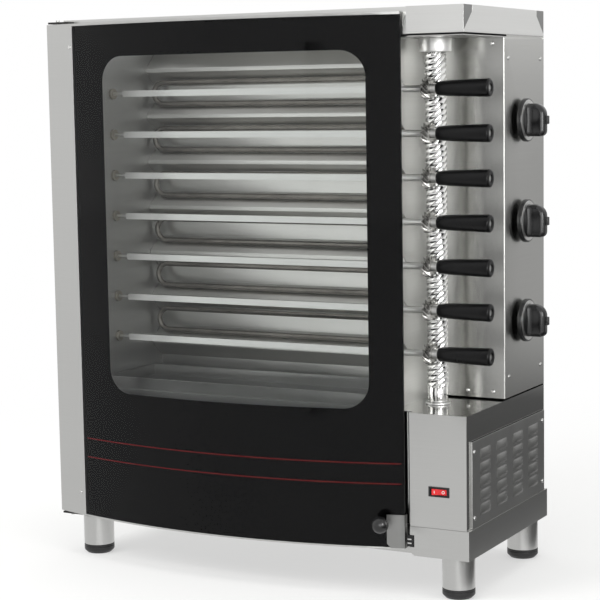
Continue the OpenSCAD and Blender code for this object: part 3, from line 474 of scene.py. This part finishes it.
bearings = merged([ring(*bearing["upper"]), ring(*bearing["collar"])])
finishPiece("wormBearings", moved(bearings, standing(wormAxis["x"], wormAxis["y"], 0)), satinSteel, "cabinet",
            ["worm_bearings"], sharpDegrees=50)
journals = merged([journalShape(), spigotShape()])
finishPiece("wormJournals", moved(journals, standing(wormAxis["x"], wormAxis["y"], 0)), turnedSteel,
            frame["nodes"]["worm_journals"]["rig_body"], ["worm_journals"], sharpDegrees=50)
print("worm bearings made")

# Domed screws with a slot: 7 mm wide, at the places of the CAD screws. Each is (x, y, z, way that it faces).
# The outline of a dome is in shares of its radius and height.
screwHead = {"diameter": 7.0, "height": 2.1, "slot": 1.1, "slotDepth": 0.9}
dome = {"top": ((0.0, 1.0), (0.35, 0.95), (0.65, 0.8), (0.88, 0.5)), "foot": ((1.0, 0.12), (1.0, 0.0), (0.0, 0.0)),
        "slotFloor": 0.86, "steps": 24}
screwPlaces = [(x, cabinet["housingFront"], 294.0, "front") for x in (646.0, 688.0)]
screwPlaces += [(688.0, cabinet["housingFront"], 828.0, "front")]
screwPlaces += [(cabinet["width"], y, z, "right") for y in (170.0, 306.5) for z in (317.0, 806.0)]
screwPlaces += [(710.8, y, z, "right") for y in (24.0, 308.0) for z in (125.0, 225.0)]
screwPlaces += [(x, cabinet["depth"], z, "back") for x in (30.0, 354.0, 678.0) for z in (129.0, 821.0)]
faceTurns = {"front": Matrix.Rotation(math.radians(90), 4, "X"),
             "right": Matrix.Rotation(math.radians(90), 4, "Y"),
             "back": Matrix.Rotation(math.radians(-90), 4, "X")}


def slottedDome(diameter, height, slot, slotDepth):
    # A core as high as the floor of the slot, with a part of the dome on each side of the slot
    r = diameter / 2
    foot = [(r * out, height * up) for out, up in dome["foot"]]
    parts = [turned([(0, height - slotDepth), (r * dome["slotFloor"], height - slotDepth)] + foot, dome["steps"])]
    for side in (-1, 1):
        half = turned([(r * out, height * up) for out, up in dome["top"]] + foot, dome["steps"])
        cut = sliced(half, (side * slot / 2000, 0, 0), (-side, 0, 0), clearOuter=True)
        rim = [item for item in cut["geom_cut"] if isinstance(item, bmesh.types.BMEdge)]
        bmesh.ops.edgeloop_fill(half, edges=rim)
        parts.append(outward(half))
    return merged(parts)


heads = [moved(slottedDome(*screwHead.values()), standing(x, y, z) @ faceTurns[way])
         for x, y, z, way in screwPlaces]
finishPiece("panelScrews", merged(heads), screwSteel, "cabinet", ["panel_screws"], sharpDegrees=50)
print("screws made:", len(screwPlaces))


# The door's arc and its centre, its glass, and the black border with its window
door = {"right": 606.0, "radius": 1020.4025, "centreX": 290.5, "centreY": 970.4025, "inside": 0.02,
        "glassLeft": 37.0, "glassBottom": 74.5, "glassTop": 870.0, "glass": 5.0, "glassRound": 0.7, "border": 1.0,
        "letIn": 0.4, "rim": 1.5, "windowRight": 555.0, "windowBottom": 284.0, "windowWidth": 455.0,
        "windowHeight": 536.0, "windowCorner": 40.0, "strips": 72}


def bend(shape):
    # Lays a flat shape, given as x across, y into the door and z up in millimetres, on the arc of the door
    for vert in shape.verts:
        x, depth, z = vert.co * 1000
        reach = door["radius"] - depth - door["inside"]
        vert.co = place(x, door["centreY"] - math.sqrt(reach ** 2 - (x - door["centreX"]) ** 2), z)
    return shape


def stripsAcross(shape):
    # Cuts a shape into upright strips so that it can bend
    left, right, count = door["glassLeft"], door["right"], door["strips"]
    for i in range(1, count):
        sliced(shape, ((left + (right - left) * i / count) / 1000, 0, 0), (1, 0, 0))
    return shape


def doorGlass():
    shape = cuboid((door["glassLeft"], 0, door["glassBottom"]), (door["right"], door["glass"], door["glassTop"]),
                   door["glassRound"])
    return bend(stripsAcross(shape))


def doorBorder():
    # A flat sheet with the window cut from it, given its thickness and bent with the glass, let into its back
    depth = (door["glass"] - door["letIn"]) / 1000
    left, right = door["glassLeft"] / 1000, (door["right"] - door["rim"]) / 1000
    low, high = door["glassBottom"] / 1000, door["glassTop"] / 1000
    shape = bmesh.new()
    outer = [shape.verts.new((x, depth, z)) for x, z in ((left, low), (right, low), (right, high), (left, high))]
    face = shape.faces.new(outer)
    width, height = door["windowWidth"] / 1000, door["windowHeight"] / 1000
    x1, z0 = door["windowRight"] / 1000, door["windowBottom"] / 1000
    hole = bmesh.new()
    corners = [hole.verts.new((x, depth, z)) for x, z in
               ((x1 - width, z0), (x1, z0), (x1, z0 + height), (x1 - width, z0 + height))]
    hole.faces.new(corners)
    bmesh.ops.bevel(hole, geom=hole.verts[:], offset=door["windowCorner"] / 1000, offset_type="OFFSET",
                    segments=12, profile=0.5, affect="VERTICES", clamp_overlap=True, material=-1)
    bmesh.ops.delete(hole, geom=hole.faces[:], context="FACES_ONLY")
    bmesh.ops.delete(shape, geom=[face], context="FACES_ONLY")
    merged([shape, hole])
    bmesh.ops.triangle_fill(shape, use_beauty=True, use_dissolve=False, edges=shape.edges[:], normal=(0, -1, 0))
    stripsAcross(shape)
    thickened(shape, shape.faces[:], (0, (door["border"] + door["letIn"]) / 1000, 0))
    return bend(outward(shape))


finishPiece("doorGlass", doorGlass(), floatGlass, "door", ["door_glass"], sharpDegrees=15)
finishPiece("glassBorder", doorBorder(), enamelBlack, "door", ["door_border"])
finishPiece("latchPlate", workingCopy("latch_plate"), traySheet, "door", ["latch_plate"], 0.3)


def onDoor(x, z, seat=0.0):
    # Sets a shape down on the bowed front of the door, with its own Z straight out of it
    sweep = math.asin((x - door["centreX"]) / door["radius"])
    y = door["centreY"] - door["radius"] * math.cos(sweep)
    return standing(x, y + seat, z) @ Matrix.Rotation(sweep, 4, "Z") @ faceTurns["front"]


# Ball on its neck: the neck flares into the ball a small angle past their meeting
ball = {"x": 575.0, "height": 114.5, "diameter": 26.0, "stand": 26.0, "neck": 11.0, "neckGap": 0.3,
        "neckEdge": 0.6, "flare": 0.12, "flareHeight": 1.0, "seat": 0.01}


def ballKnob():
    r, neck, gap, edge = ball["diameter"] / 2, ball["neck"] / 2, ball["neckGap"], ball["neckEdge"]
    start = math.asin(neck / r) + ball["flare"]
    profile = [(0, gap), (neck - edge, gap), (neck, gap + edge),
               (neck, ball["stand"] - r * math.cos(start) - ball["flareHeight"])]
    profile += [(r * math.sin(a), ball["stand"] - r * math.cos(a))
                for a in (start + (math.pi - start) * i / 24 for i in range(25))]
    return moved(turned(profile, 64), onDoor(ball["x"], ball["height"], ball["seat"]))


finishPiece("doorBall", ballKnob(), litPolishedPhenolic, "door", ["ball_knob"])

# Small domed screws that hold the stile to its straps: (x, z)
stileScrew = {"diameter": 6.5, "height": 1.6, "slot": 1.0, "slotDepth": 0.7}
stileScrewPlaces = ((30.0, 837.0), (25.6, 109.7))
heads = [moved(slottedDome(*stileScrew.values()), onDoor(x, z)) for x, z in stileScrewPlaces]
finishPiece("stileScrews", merged(heads), screwSteel, "door", (), sharpDegrees=50)
print("door made")


skewers = {"count": 7, "y": 62.0, "lowest": 362.5, "pitch": 66.5}
# The lip is (radius past the inner one, distance from the inner end), the mouth (radius past the bore, distance
# from the outer end)
handle = {"start": 637.5, "length": 86.0, "innerRadius": 9.5, "outerRadius": 13.5, "bore": 5.35, "edge": 3.0,
          "lip": ((-1.4, 0.0), (-0.2, 0.6), (0.6, 1.8), (1.3, 4.0)), "swell": 0.62,
          "mouth": ((1.4, 0.0), (0.5, 0.4), (0.0, 1.2))}


def handleGrip(height):
    r0, r1, length, bore, edge = (handle[key] for key in ("innerRadius", "outerRadius", "length", "bore", "edge"))
    profile = [(bore, 0.0)] + [(r0 + out, along) for out, along in handle["lip"]]
    start, startAt = profile[-1]      # from here the side swells to the outer end
    profile += [(start + (r1 - start) * t ** handle["swell"], startAt + (length - edge - startAt) * t)
                for t in (0.1, 0.2, 0.35, 0.55, 0.8, 1.0)]
    profile += [(r1 - edge + edge * math.cos(a), length - edge + edge * math.sin(a))
                for a in (math.radians(d) for d in (15, 30, 45, 60, 75, 90))]
    profile += [(bore + out, length - back) for out, back in handle["mouth"]]
    return moved(turned(profile, 48, closed=True), alongX(handle["start"], skewers["y"], height))


for i in range(1, skewers["count"] + 1):
    height = skewers["lowest"] + (i - 1) * skewers["pitch"]
    body = f"skewer_{i}"
    finishPiece(f"skewerBar{i}", workingCopy(f"skewer_rod_{i}"), skewerSteel, body, [f"skewer_rod_{i}"],
                0.4)
    finishPiece(f"skewerGear{i}", workingCopy(f"skewer_gear_{i}"), gearSteel, body, [f"skewer_gear_{i}"],
                0.25)
    finishPiece(f"skewerGrip{i}", handleGrip(height), blackPhenolic, body, [f"skewer_handle_{i}"])
print("skewers made:", skewers["count"])


# Heat knob: a black skirt with a pale ring let into its face, and a grip bar on a flared neck
knob = {"count": 3, "y": 224.0, "lowest": 399.0, "pitch": 156.0, "radius": 33.5, "depth": 45.0, "crown": 41.0,
        "spindle": 3.1, "hub": 17.0, "underside": 5.0, "face": 12.4, "post": 9.4, "postTop": 34.0,
        "ringInner": 25.8, "ringOuter": 31.3, "gripRadius": 25.46, "gripWidth": 20.0, "gripFoot": 12.0,
        "wideRound": 18.0, "tightRound": 9.0, "edgeRound": 7.0, "spread": 0.3, "spreadTop": 27.0,
        "spreadPower": 2.6, "cutsUp": (13, 14, 15.5, 17.5, 20, 23, 27), "cutsAcross": (-9.5, -6, -3, 0, 3, 6, 9.5),
        "nubLength": 13.0, "nubWidth": 8.0, "nubLow": 4.0}


def gripBar():
    # The side view of the bar is pulled to its width, its outer edges are rounded, its foot is spread over the
    # skirt, and its ends are rounded off to the grip's circle
    r, wide, tight, top = knob["gripRadius"], knob["wideRound"], knob["tightRound"], knob["crown"]
    base, spreadTop = knob["gripFoot"], knob["spreadTop"]
    outline = [(-r, base)]
    outline += [(wide - r - wide * math.cos(a), top - wide + wide * math.sin(a))
                for a in (math.radians(d) for d in range(0, 91, 9))]
    outline += [(r - tight + tight * math.sin(a), top - tight + tight * math.cos(a))
                for a in (math.radians(d) for d in range(0, 91, 15))]
    outline += [(r, base)]
    half = knob["gripWidth"] / 2000
    shape = bmesh.new()
    side = shape.faces.new([shape.verts.new((x / 1000, -half, z / 1000)) for x, z in outline])
    thickened(shape, [side], (0, 2 * half, 0))
    rims = [edge for edge in shape.edges if abs(edge.verts[0].co.y - edge.verts[1].co.y) < 0.00001
            and max(vert.co.z for vert in edge.verts) > (base + 0.5) / 1000]
    bmesh.ops.bevel(shape, geom=rims, offset=knob["edgeRound"] / 1000, segments=6, profile=0.5, affect="EDGES",
                    clamp_overlap=True, material=-1)
    for z in knob["cutsUp"]:
        sliced(shape, (0, 0, z / 1000), (0, 0, 1))
    for y in knob["cutsAcross"]:
        sliced(shape, (0, y / 1000, 0), (0, 1, 0))
    for vert in shape.verts:
        low = max(0.0, (spreadTop - vert.co.z * 1000) / (spreadTop - base))
        vert.co.y *= 1 + knob["spread"] * low ** knob["spreadPower"]
        reach = math.sqrt(max(0.0, (r / 1000) ** 2 - vert.co.y ** 2))
        vert.co.x = max(-reach, min(reach, vert.co.x))
    return outward(shape)


def heatKnob(height):
    r, face, bore, inner, post = (knob[key] for key in ("radius", "face", "spindle", "ringInner", "post"))
    hub, under, top = knob["hub"], knob["underside"], knob["postTop"]
    skirt = turned([
        (bore, 0.3), (hub, 0.3), (hub, under), (r - 1.2, under), (r - 0.4, 5.3), (r, 6), (r, 10.6), (r - 0.3, 11.8),
        (r - 1.0, face), (r - 1.8, face), (r - 2.2, face - 0.5), (inner + 0.4, face - 0.5), (inner, face + 0.5),
        (inner - 1.5, face + 1.4), (inner - 8, face + 1.8), (post, 15), (post, top), (bore, top)], 96, closed=True)
    x, y, low = knob["nubLength"] / 2, knob["nubWidth"] / 2, knob["crown"] - knob["nubLow"]
    nub = cuboid((-x, -y, low), (x, y, knob["depth"]), 1.2)
    return moved(merged([skirt, gripBar(), nub]), alongX(cabinet["width"], knob["y"], height))


def knobRing(height):
    inner, outer, face = knob["ringInner"] + 0.1, knob["ringOuter"], knob["face"]
    pale = turned([(inner, face - 0.5), (outer, face - 0.5), (outer, face + 0.1), (outer - 0.4, face + 0.4),
                   (inner, face + 0.5)], 96, closed=True)
    return moved(pale, alongX(cabinet["width"], knob["y"], height))


for i in range(1, knob["count"] + 1):
    height = knob["lowest"] + (i - 1) * knob["pitch"]
    finishPiece(f"heatKnob{i}", heatKnob(height), litPolishedPhenolic, f"heat_knob_{i}", [f"heat_knob_{i}"],
                sharpDegrees=40)
    finishPiece(f"knobRing{i}", knobRing(height), dialRing, f"heat_knob_{i}", ())
print("knobs made:", knob["count"])


# Vent panel: a shallow tray with its two side flanges turned in, pressed with open hoods
vent = {"front": 16.0, "back": 316.0, "low": 109.3, "high": 241.0, "thickness": 1.2, "proud": 2.8, "play": 0.02,
        "columns": 4, "rows": 5, "pitchY": 66.667, "pitchZ": 21.0, "centreY": 166.0, "centreZ": 175.0,
        "length": 44.0, "height": 17.0, "out": 4.0, "slot": 3.0, "slotLift": 1.4, "slotInset": 9.0}
# Form of a hood, in shares of half its size: where its lip starts, how long it is and how far it drops, where the
# peak is, and how full the ends and the top are. Its sheet and its fit are in millimetres.
hood = {"rise": 0.6, "lipStart": 0.6, "lipLength": 0.4, "lipDrop": 0.6, "peak": 0.15, "ends": 0.6, "top": 0.8,
        "thickness": 0.8, "letIn": 0.05}


def louvreCentres():
    return [(vent["centreY"] + (c - (vent["columns"] - 1) / 2) * vent["pitchY"],
             vent["centreZ"] + (r - (vent["rows"] - 1) / 2) * vent["pitchZ"])
            for c in range(vent["columns"]) for r in range(vent["rows"])]


def ventPlate():
    # A flat plate cut along the edges of its slots, which are then taken out before it gets its thickness
    x = cabinet["width"] + vent["proud"]
    shape = bmesh.new()
    shape.faces.new([shape.verts.new(place(x, y, z)) for y, z in (
        (vent["front"], vent["low"]), (vent["back"], vent["low"]), (vent["back"], vent["high"]),
        (vent["front"], vent["high"]))])
    halfLength = vent["length"] / 2 - vent["slotInset"]
    slotLow = vent["slotLift"] - vent["height"] / 2
    slotHigh = slotLow + vent["slot"]
    cutsY = {round(y + s * halfLength, 3) for y, z in louvreCentres() for s in (-1, 1)}
    cutsZ = {round(z + s, 3) for y, z in louvreCentres() for s in (slotLow, slotHigh)}
    for y in sorted(cutsY):
        sliced(shape, place(x, y, 0), (0, 1, 0))
    for z in sorted(cutsZ):
        sliced(shape, place(x, 0, z), (0, 0, 1))
    slots = [face for face in shape.faces if any(
        abs(face.calc_center_median().y - place(x, y, z).y) < halfLength / 1000
        and slotLow / 1000 < face.calc_center_median().z - z / 1000 < slotHigh / 1000 for y, z in louvreCentres())]
    bmesh.ops.delete(shape, geom=slots, context="FACES")
    facingRight(shape)
    bmesh.ops.solidify(shape, geom=shape.faces[:], thickness=vent["thickness"] / 1000)
    inside, outside = cabinet["width"] + vent["play"], x - vent["thickness"] + vent["play"]
    flanges = [cuboid(place(inside, y, vent["low"]) * 1000, place(outside, y + vent["thickness"], vent["high"]) * 1000)
               for y in (vent["front"], vent["back"] - vent["thickness"])]
    return merged([shape] + flanges)


def louvre(y, z):
    # A pressed hood: a flat grid drawn out to a low dome, open at its lower lip
    shape = bmesh.new()
    bmesh.ops.create_grid(shape, x_segments=12, y_segments=16, size=0.5)
    bmesh.ops.rotate(shape, cent=(0, 0, 0), matrix=Matrix.Rotation(math.radians(90), 3, "Y"), verts=shape.verts)
    for vert in shape.verts:
        across, up = 2 * vert.co.y, 2 * vert.co.z
        lip = max(0.0, (-hood["lipStart"] - up) / hood["lipLength"])
        bow = math.cos((up + hood["peak"]) / (1 + hood["peak"]) * math.pi / 2) ** hood["top"]
        rise = hood["rise"] * math.cos(across * math.pi / 2) ** hood["ends"] * bow * (1 - hood["lipDrop"] * lip)
        vert.co = ((vent["play"] + vent["out"] * rise) / 1000, vert.co.y * vent["length"] / 1000,
                   vert.co.z * vent["height"] / 1000)
    facingRight(shape)
    bmesh.ops.solidify(shape, geom=shape.faces[:], thickness=hood["thickness"] / 1000)
    return moved(shape, standing(cabinet["width"] + vent["proud"] - hood["letIn"], y, z))


finishPiece("ventPlate", ventPlate(), platedSheet, "cabinet", ["vent_panel"], 0.3)
finishPiece("ventLouvres", merged([louvre(y, z) for y, z in louvreCentres()]), louvreSheet, "cabinet", (),
            sharpDegrees=50)
print("vent panel made")


# Two pole bars of the magnetic catch, seen as light lines on its black face
catch = {"left": 612.7, "right": 619.3, "front": -2.95, "depth": 0.6, "heights": (82.0, 88.0), "bar": 2.1,
         "round": 0.2}
finishPiece("catchBars", merged([
    cuboid(place(catch["left"], catch["front"], z) * 1000,
           place(catch["right"], catch["front"] + catch["depth"], z + catch["bar"]) * 1000, catch["round"])
    for z in catch["heights"]]), screwSteel, "cabinet", ())
print("catch bars made")

# Rocker: its outline and its marks are measured from its pivot, with y into the box
rocker = {"x": 663.5, "height": 165.0, "halfHeight": 4.6, "pivotY": 5.0, "tip": 8.0,
          "outline": ((-11.8, -6.8), (0, -5.2), (11.8, -6.8), (11.2, -1), (4, 3.5), (-4, 3.5), (-11.2, -1)),
          "barLow": (-8.0, -6.45, -2.1), "barHigh": (-7.1, -5.9, 2.1), "barRound": 0.15,
          "ringX": 6.2, "ringY": -6.15, "ringInner": 1.5, "ringOuter": 2.3, "ringHalf": 0.25}


def rockerFace():
    shape = bmesh.new()
    z = rocker["halfHeight"] / 1000
    face = shape.faces.new([shape.verts.new((x / 1000, y / 1000, -z)) for x, y in rocker["outline"]])
    thickened(shape, [face], (0, 0, 2 * z))
    return outward(shape)


def rockerRing():
    inner, outer, half = rocker["ringInner"], rocker["ringOuter"], rocker["ringHalf"]
    mark = turned([(inner, -half), (outer, -half), (outer, half), (inner, half)], 32, closed=True)
    return moved(mark, Matrix.Translation((rocker["ringX"] / 1000, rocker["ringY"] / 1000, 0)) @ faceTurns["front"])


rockerTurn = Matrix.Rotation(math.radians(rocker["tip"]), 4, "Z")
rockerPlace = standing(rocker["x"], rocker["pivotY"], rocker["height"]) @ rockerTurn
rockerBar = cuboid(rocker["barLow"], rocker["barHigh"], rocker["barRound"])
finishPiece("rockerBody", moved(rockerFace(), rockerPlace), rockerRed, "switch_rocker", ["switch_rocker"],
            0.5, 3)
finishPiece("rockerMarks", moved(merged([rockerBar, rockerRing()]), rockerPlace), markWhite, "switch_rocker", ())
print("switch made")


# Levelling foot with a plug in the leg tube. Its grip groove is (depth, distance under the rim).
foot = {"radius": 25.0, "height": 15.0, "chamfer": 5.0, "edge": 0.6, "plug": 23.42, "plugTop": 39.0,
        "groove": ((0.0, 4.2), (0.7, 3.8), (0.7, 3.0), (0.0, 2.6)),
        "places": ((27, 32), (681, 32), (27, 295), (681, 295))}


def levellingFoot():
    r, h, c, edge, plug, top = (foot[key] for key in ("radius", "height", "chamfer", "edge", "plug", "plugTop"))
    profile = [(0, 0), (r - c, 0), (r - edge, c - edge), (r, c + edge)]
    profile += [(r - depth, h - under) for depth, under in foot["groove"]]
    return turned(profile + [(r, h - edge), (r - edge, h), (plug, h), (plug, top), (0, top)], 72)


for i, (x, y) in enumerate(foot["places"], 1):
    finishPiece(f"legFoot{i}", moved(levellingFoot(), standing(x, y, 0)), footPolythene, f"foot_{i}", [f"foot_{i}"],
                0.3)
print("feet made")


def lightRay(material, *names):
    # 1 for the kinds of ray that are named, 0 for the others
    path = addNode(material, "ShaderNodeLightPath")
    value = path.outputs[names[0]]
    for name in names[1:]:
        value = addNode(material, "ShaderNodeMath", {
            0: value, 1: path.outputs[name]}, operation="MAXIMUM").outputs[0]
    return value


# The floor fades to plain white between two distances from the grill, in metres. "mirrored" is its level in
# polished steel and in the glass.
studio = {"worldLevel": 0.72, "floorSize": 16.0, "fadeStart": 0.75, "fadeEnd": 1.7, "nearShare": 0.5,
          "mirrored": 0.86, "floor": "#F4F4F2", "overFloor": 0.003}


def makeFloor():
    shape = bmesh.new()
    bmesh.ops.create_grid(shape, x_segments=1, y_segments=1, size=studio["floorSize"] / 2)
    floor = meshObject("studioFloor", shape)
    material, shader = newMaterial("white studio floor", {
        "Base Color": studio["floor"], "Roughness": 0.8, "Specular IOR Level": 0.1})
    coords = addNode(material, "ShaderNodeTexCoord")
    away = addNode(material, "ShaderNodeVectorMath", {
        0: coords.outputs["Object"]}, operation="LENGTH").outputs["Value"]
    fade = addNode(material, "ShaderNodeMapRange", {
        "Value": away, "From Min": studio["fadeStart"], "From Max": studio["fadeEnd"], "To Min": studio["nearShare"]})
    seen = lightRay(material, "Is Camera Ray")
    share = addNode(material, "ShaderNodeMath", {0: fade.outputs[0], 1: seen}, operation="MULTIPLY").outputs[0]
    mirrored = lightRay(material, "Is Glossy Ray", "Is Transmission Ray")
    share = addNode(material, "ShaderNodeMath", {0: share, 1: mirrored}, operation="MAXIMUM").outputs[0]
    level = addNode(material, "ShaderNodeMapRange", {
        "Value": lightRay(material, "Is Glossy Ray"), "To Min": 1.0, "To Max": studio["mirrored"]})
    glow = addNode(material, "ShaderNodeEmission", {"Color": (1, 1, 1, 1), "Strength": level.outputs[0]})
    blend = addNode(material, "ShaderNodeMixShader", {0: share, 1: shader.outputs[0], 2: glow.outputs[0]})
    material.node_tree.links.new(blend.outputs[0], material.node_tree.nodes["Material Output"].inputs[0])
    floor.data.materials.append(material)


def makeWorld():
    world = bpy.data.worlds.new("studioWorld")
    world.use_nodes = True
    bpy.context.scene.world = world
    background = world.node_tree.nodes["Background"]
    seen = lightRay(world, "Is Camera Ray", "Is Glossy Ray", "Is Transmission Ray")
    level = addNode(world, "ShaderNodeMapRange", {"Value": seen, "To Min": studio["worldLevel"], "To Max": 1.0})
    world.node_tree.links.new(level.outputs[0], background.inputs["Strength"])
    background.inputs["Color"].default_value = (1, 1, 1, 1)


# Lamps light the grill but aren't mirrored in it. Sizes are in metres, power in watts.
lamps = {"keyLight": {"location": (-1.6, -2.6, 2.6), "target": (0, 0, 0.4), "size": 2.0, "power": 60},
         "topLight": {"location": (0.3, -0.2, 3.2), "target": (0, 0, 0.4), "size": 2.4, "power": 40}}


def softLight(name, settings):
    lamp = bpy.data.lights.new(name, "AREA")
    lamp.shape = "DISK"
    lamp.size = settings["size"]
    lamp.energy = settings["power"]
    holder = bpy.data.objects.new(name, lamp)
    holder.location = settings["location"]
    aim = Vector(settings["target"]) - Vector(settings["location"])
    holder.rotation_euler = aim.to_track_quat("-Z", "Y").to_euler()
    bpy.context.scene.collection.objects.link(holder)
    holder.visible_glossy = False
    holder.visible_transmission = False


# Studio cards that only reflections see, of one brightness or with stops of (height over the floor, brightness).
# The grey card at the right and back darkens the right-hand faces, most near the floor. The soft box stands by the
# camera and gives the bright lines on round steel and black grips. The strip light at the right brightens the
# upright edges. The narrow flags put soft upright bands in the polished front of the control housing. The inner
# card behind the left border and the ceiling card give the skewers and the reflector something to show.
cards = {
    "greyCard": {"centre": (1.15, 0.55), "width": 2.6, "height": 2.4, "turn": -28.0,
                 "stops": ((0.0, 0.09), (0.14, 0.12), (0.24, 0.50), (0.68, 0.50), (0.82, 0.66), (0.95, 1.0))},
    "softBox": {"centre": (1.62, -2.75), "width": 1.8, "height": 1.5, "turn": 28.0,
                "stops": ((0.0, 2.8), (0.6, 3.4), (1.5, 3.4))},
    "floorCard": {"centre": (1.05, 0.55), "width": 1.3, "height": 2.0, "turn": 0.0, "flat": True, "level": 0.12},
    "stripLight": {"centre": (2.05, -1.15), "width": 0.55, "height": 1.1, "low": 0.35, "turn": 60.0,
                   "level": 9.0},
    "blackFlag": {"centre": (0.312, -0.247), "width": 0.032, "height": 0.56, "low": 0.27, "turn": 28.0,
                  "level": 0.03},
    "greyFlag": {"centre": (0.072, -0.6), "width": 0.046, "height": 0.645, "low": 0.2, "turn": -28.0,
                 "level": 0.5},
    "innerCard": {"centre": (-0.297, -0.160), "width": 0.066, "height": 0.54, "low": 0.285, "turn": 0.0,
                  "level": 0.6},
    "ceilingCard": {"centre": (-0.055, -0.065), "width": 0.5, "height": 0.15, "low": 0.828, "turn": 0.0, "flat": True,
                    "level": 0.6},
    "darkFlag": {"centre": (0.053, -0.585), "width": 0.012, "height": 0.645, "low": 0.2, "turn": -28.0,
                 "level": 0.2},
}


def makeCard(name, card):
    shape = bmesh.new()
    bmesh.ops.create_grid(shape, x_segments=1, y_segments=1, size=0.5)
    bmesh.ops.scale(shape, vec=(card["width"], card["height"], 1), verts=shape.verts)
    upright = not card.get("flat")
    if upright:
        bmesh.ops.rotate(shape, cent=(0, 0, 0), matrix=Matrix.Rotation(math.radians(90), 3, "X"), verts=shape.verts)
    bmesh.ops.rotate(shape, cent=(0, 0, 0), matrix=Matrix.Rotation(math.radians(card["turn"]), 3, "Z"),
                     verts=shape.verts)
    rise = card.get("low", studio["overFloor"]) + (card["height"] / 2 if upright else 0)
    bmesh.ops.translate(shape, vec=(*card["centre"], rise), verts=shape.verts)
    board = meshObject(name, shape)
    material = bpy.data.materials.new(name)
    material.use_nodes = True
    material.node_tree.nodes.clear()
    coords = addNode(material, "ShaderNodeTexCoord")
    axes = addNode(material, "ShaderNodeSeparateXYZ", {0: coords.outputs["Object"]})
    stops = card.get("stops") or ((0.0, card["level"]), (1.0, card["level"]))
    tall, brightest = stops[-1][0], max(level for height, level in stops)
    share = addNode(material, "ShaderNodeMapRange", {"Value": axes.outputs["Z"], "From Max": tall}).outputs[0]
    ramp = addNode(material, "ShaderNodeValToRGB", {"Fac": share})
    while len(ramp.color_ramp.elements) < len(stops):
        ramp.color_ramp.elements.new(0.5)
    for stop, (height, level) in zip(ramp.color_ramp.elements, stops):
        stop.position = height / tall
        stop.color = (level / brightest,) * 3 + (1,)
    glow = addNode(material, "ShaderNodeEmission", {"Color": ramp.outputs["Color"], "Strength": brightest})
    output = addNode(material, "ShaderNodeOutputMaterial")
    material.node_tree.links.new(glow.outputs[0], output.inputs[0])
    board.data.materials.append(material)
    board.visible_camera = False
    board.visible_diffuse = False
    board.visible_shadow = False
    board.visible_transmission = False


makeFloor()
makeWorld()
for cardName, card in cards.items():
    makeCard(cardName, card)
for lampName, settings in lamps.items():
    softLight(lampName, settings)

# Long lens from the front right, a little above the middle. Angles are in degrees, the lens in millimetres.
shot = {"location": (1.36266, -2.54292, 0.75506), "turn": 28.347, "down": 6.529, "roll": -0.922, "lens": 107.49,
        "sensor": 36.0}


def makeCamera():
    turn, down, roll = (math.radians(shot[key]) for key in ("turn", "down", "roll"))
    data = bpy.data.cameras.new("studioCamera")
    data.lens = shot["lens"]
    data.sensor_width = shot["sensor"]
    data.sensor_fit = "HORIZONTAL"
    camera = bpy.data.objects.new("studioCamera", data)
    bpy.context.scene.collection.objects.link(camera)
    camera.matrix_world = (Matrix.Translation(shot["location"]) @ Matrix.Rotation(turn, 4, "Z")
                           @ Matrix.Rotation(math.pi / 2 - down, 4, "X") @ Matrix.Rotation(roll, 4, "Z"))
    bpy.context.scene.camera = camera


makeCamera()
bpy.context.scene.view_settings.view_transform = "Standard"
print("studio made")
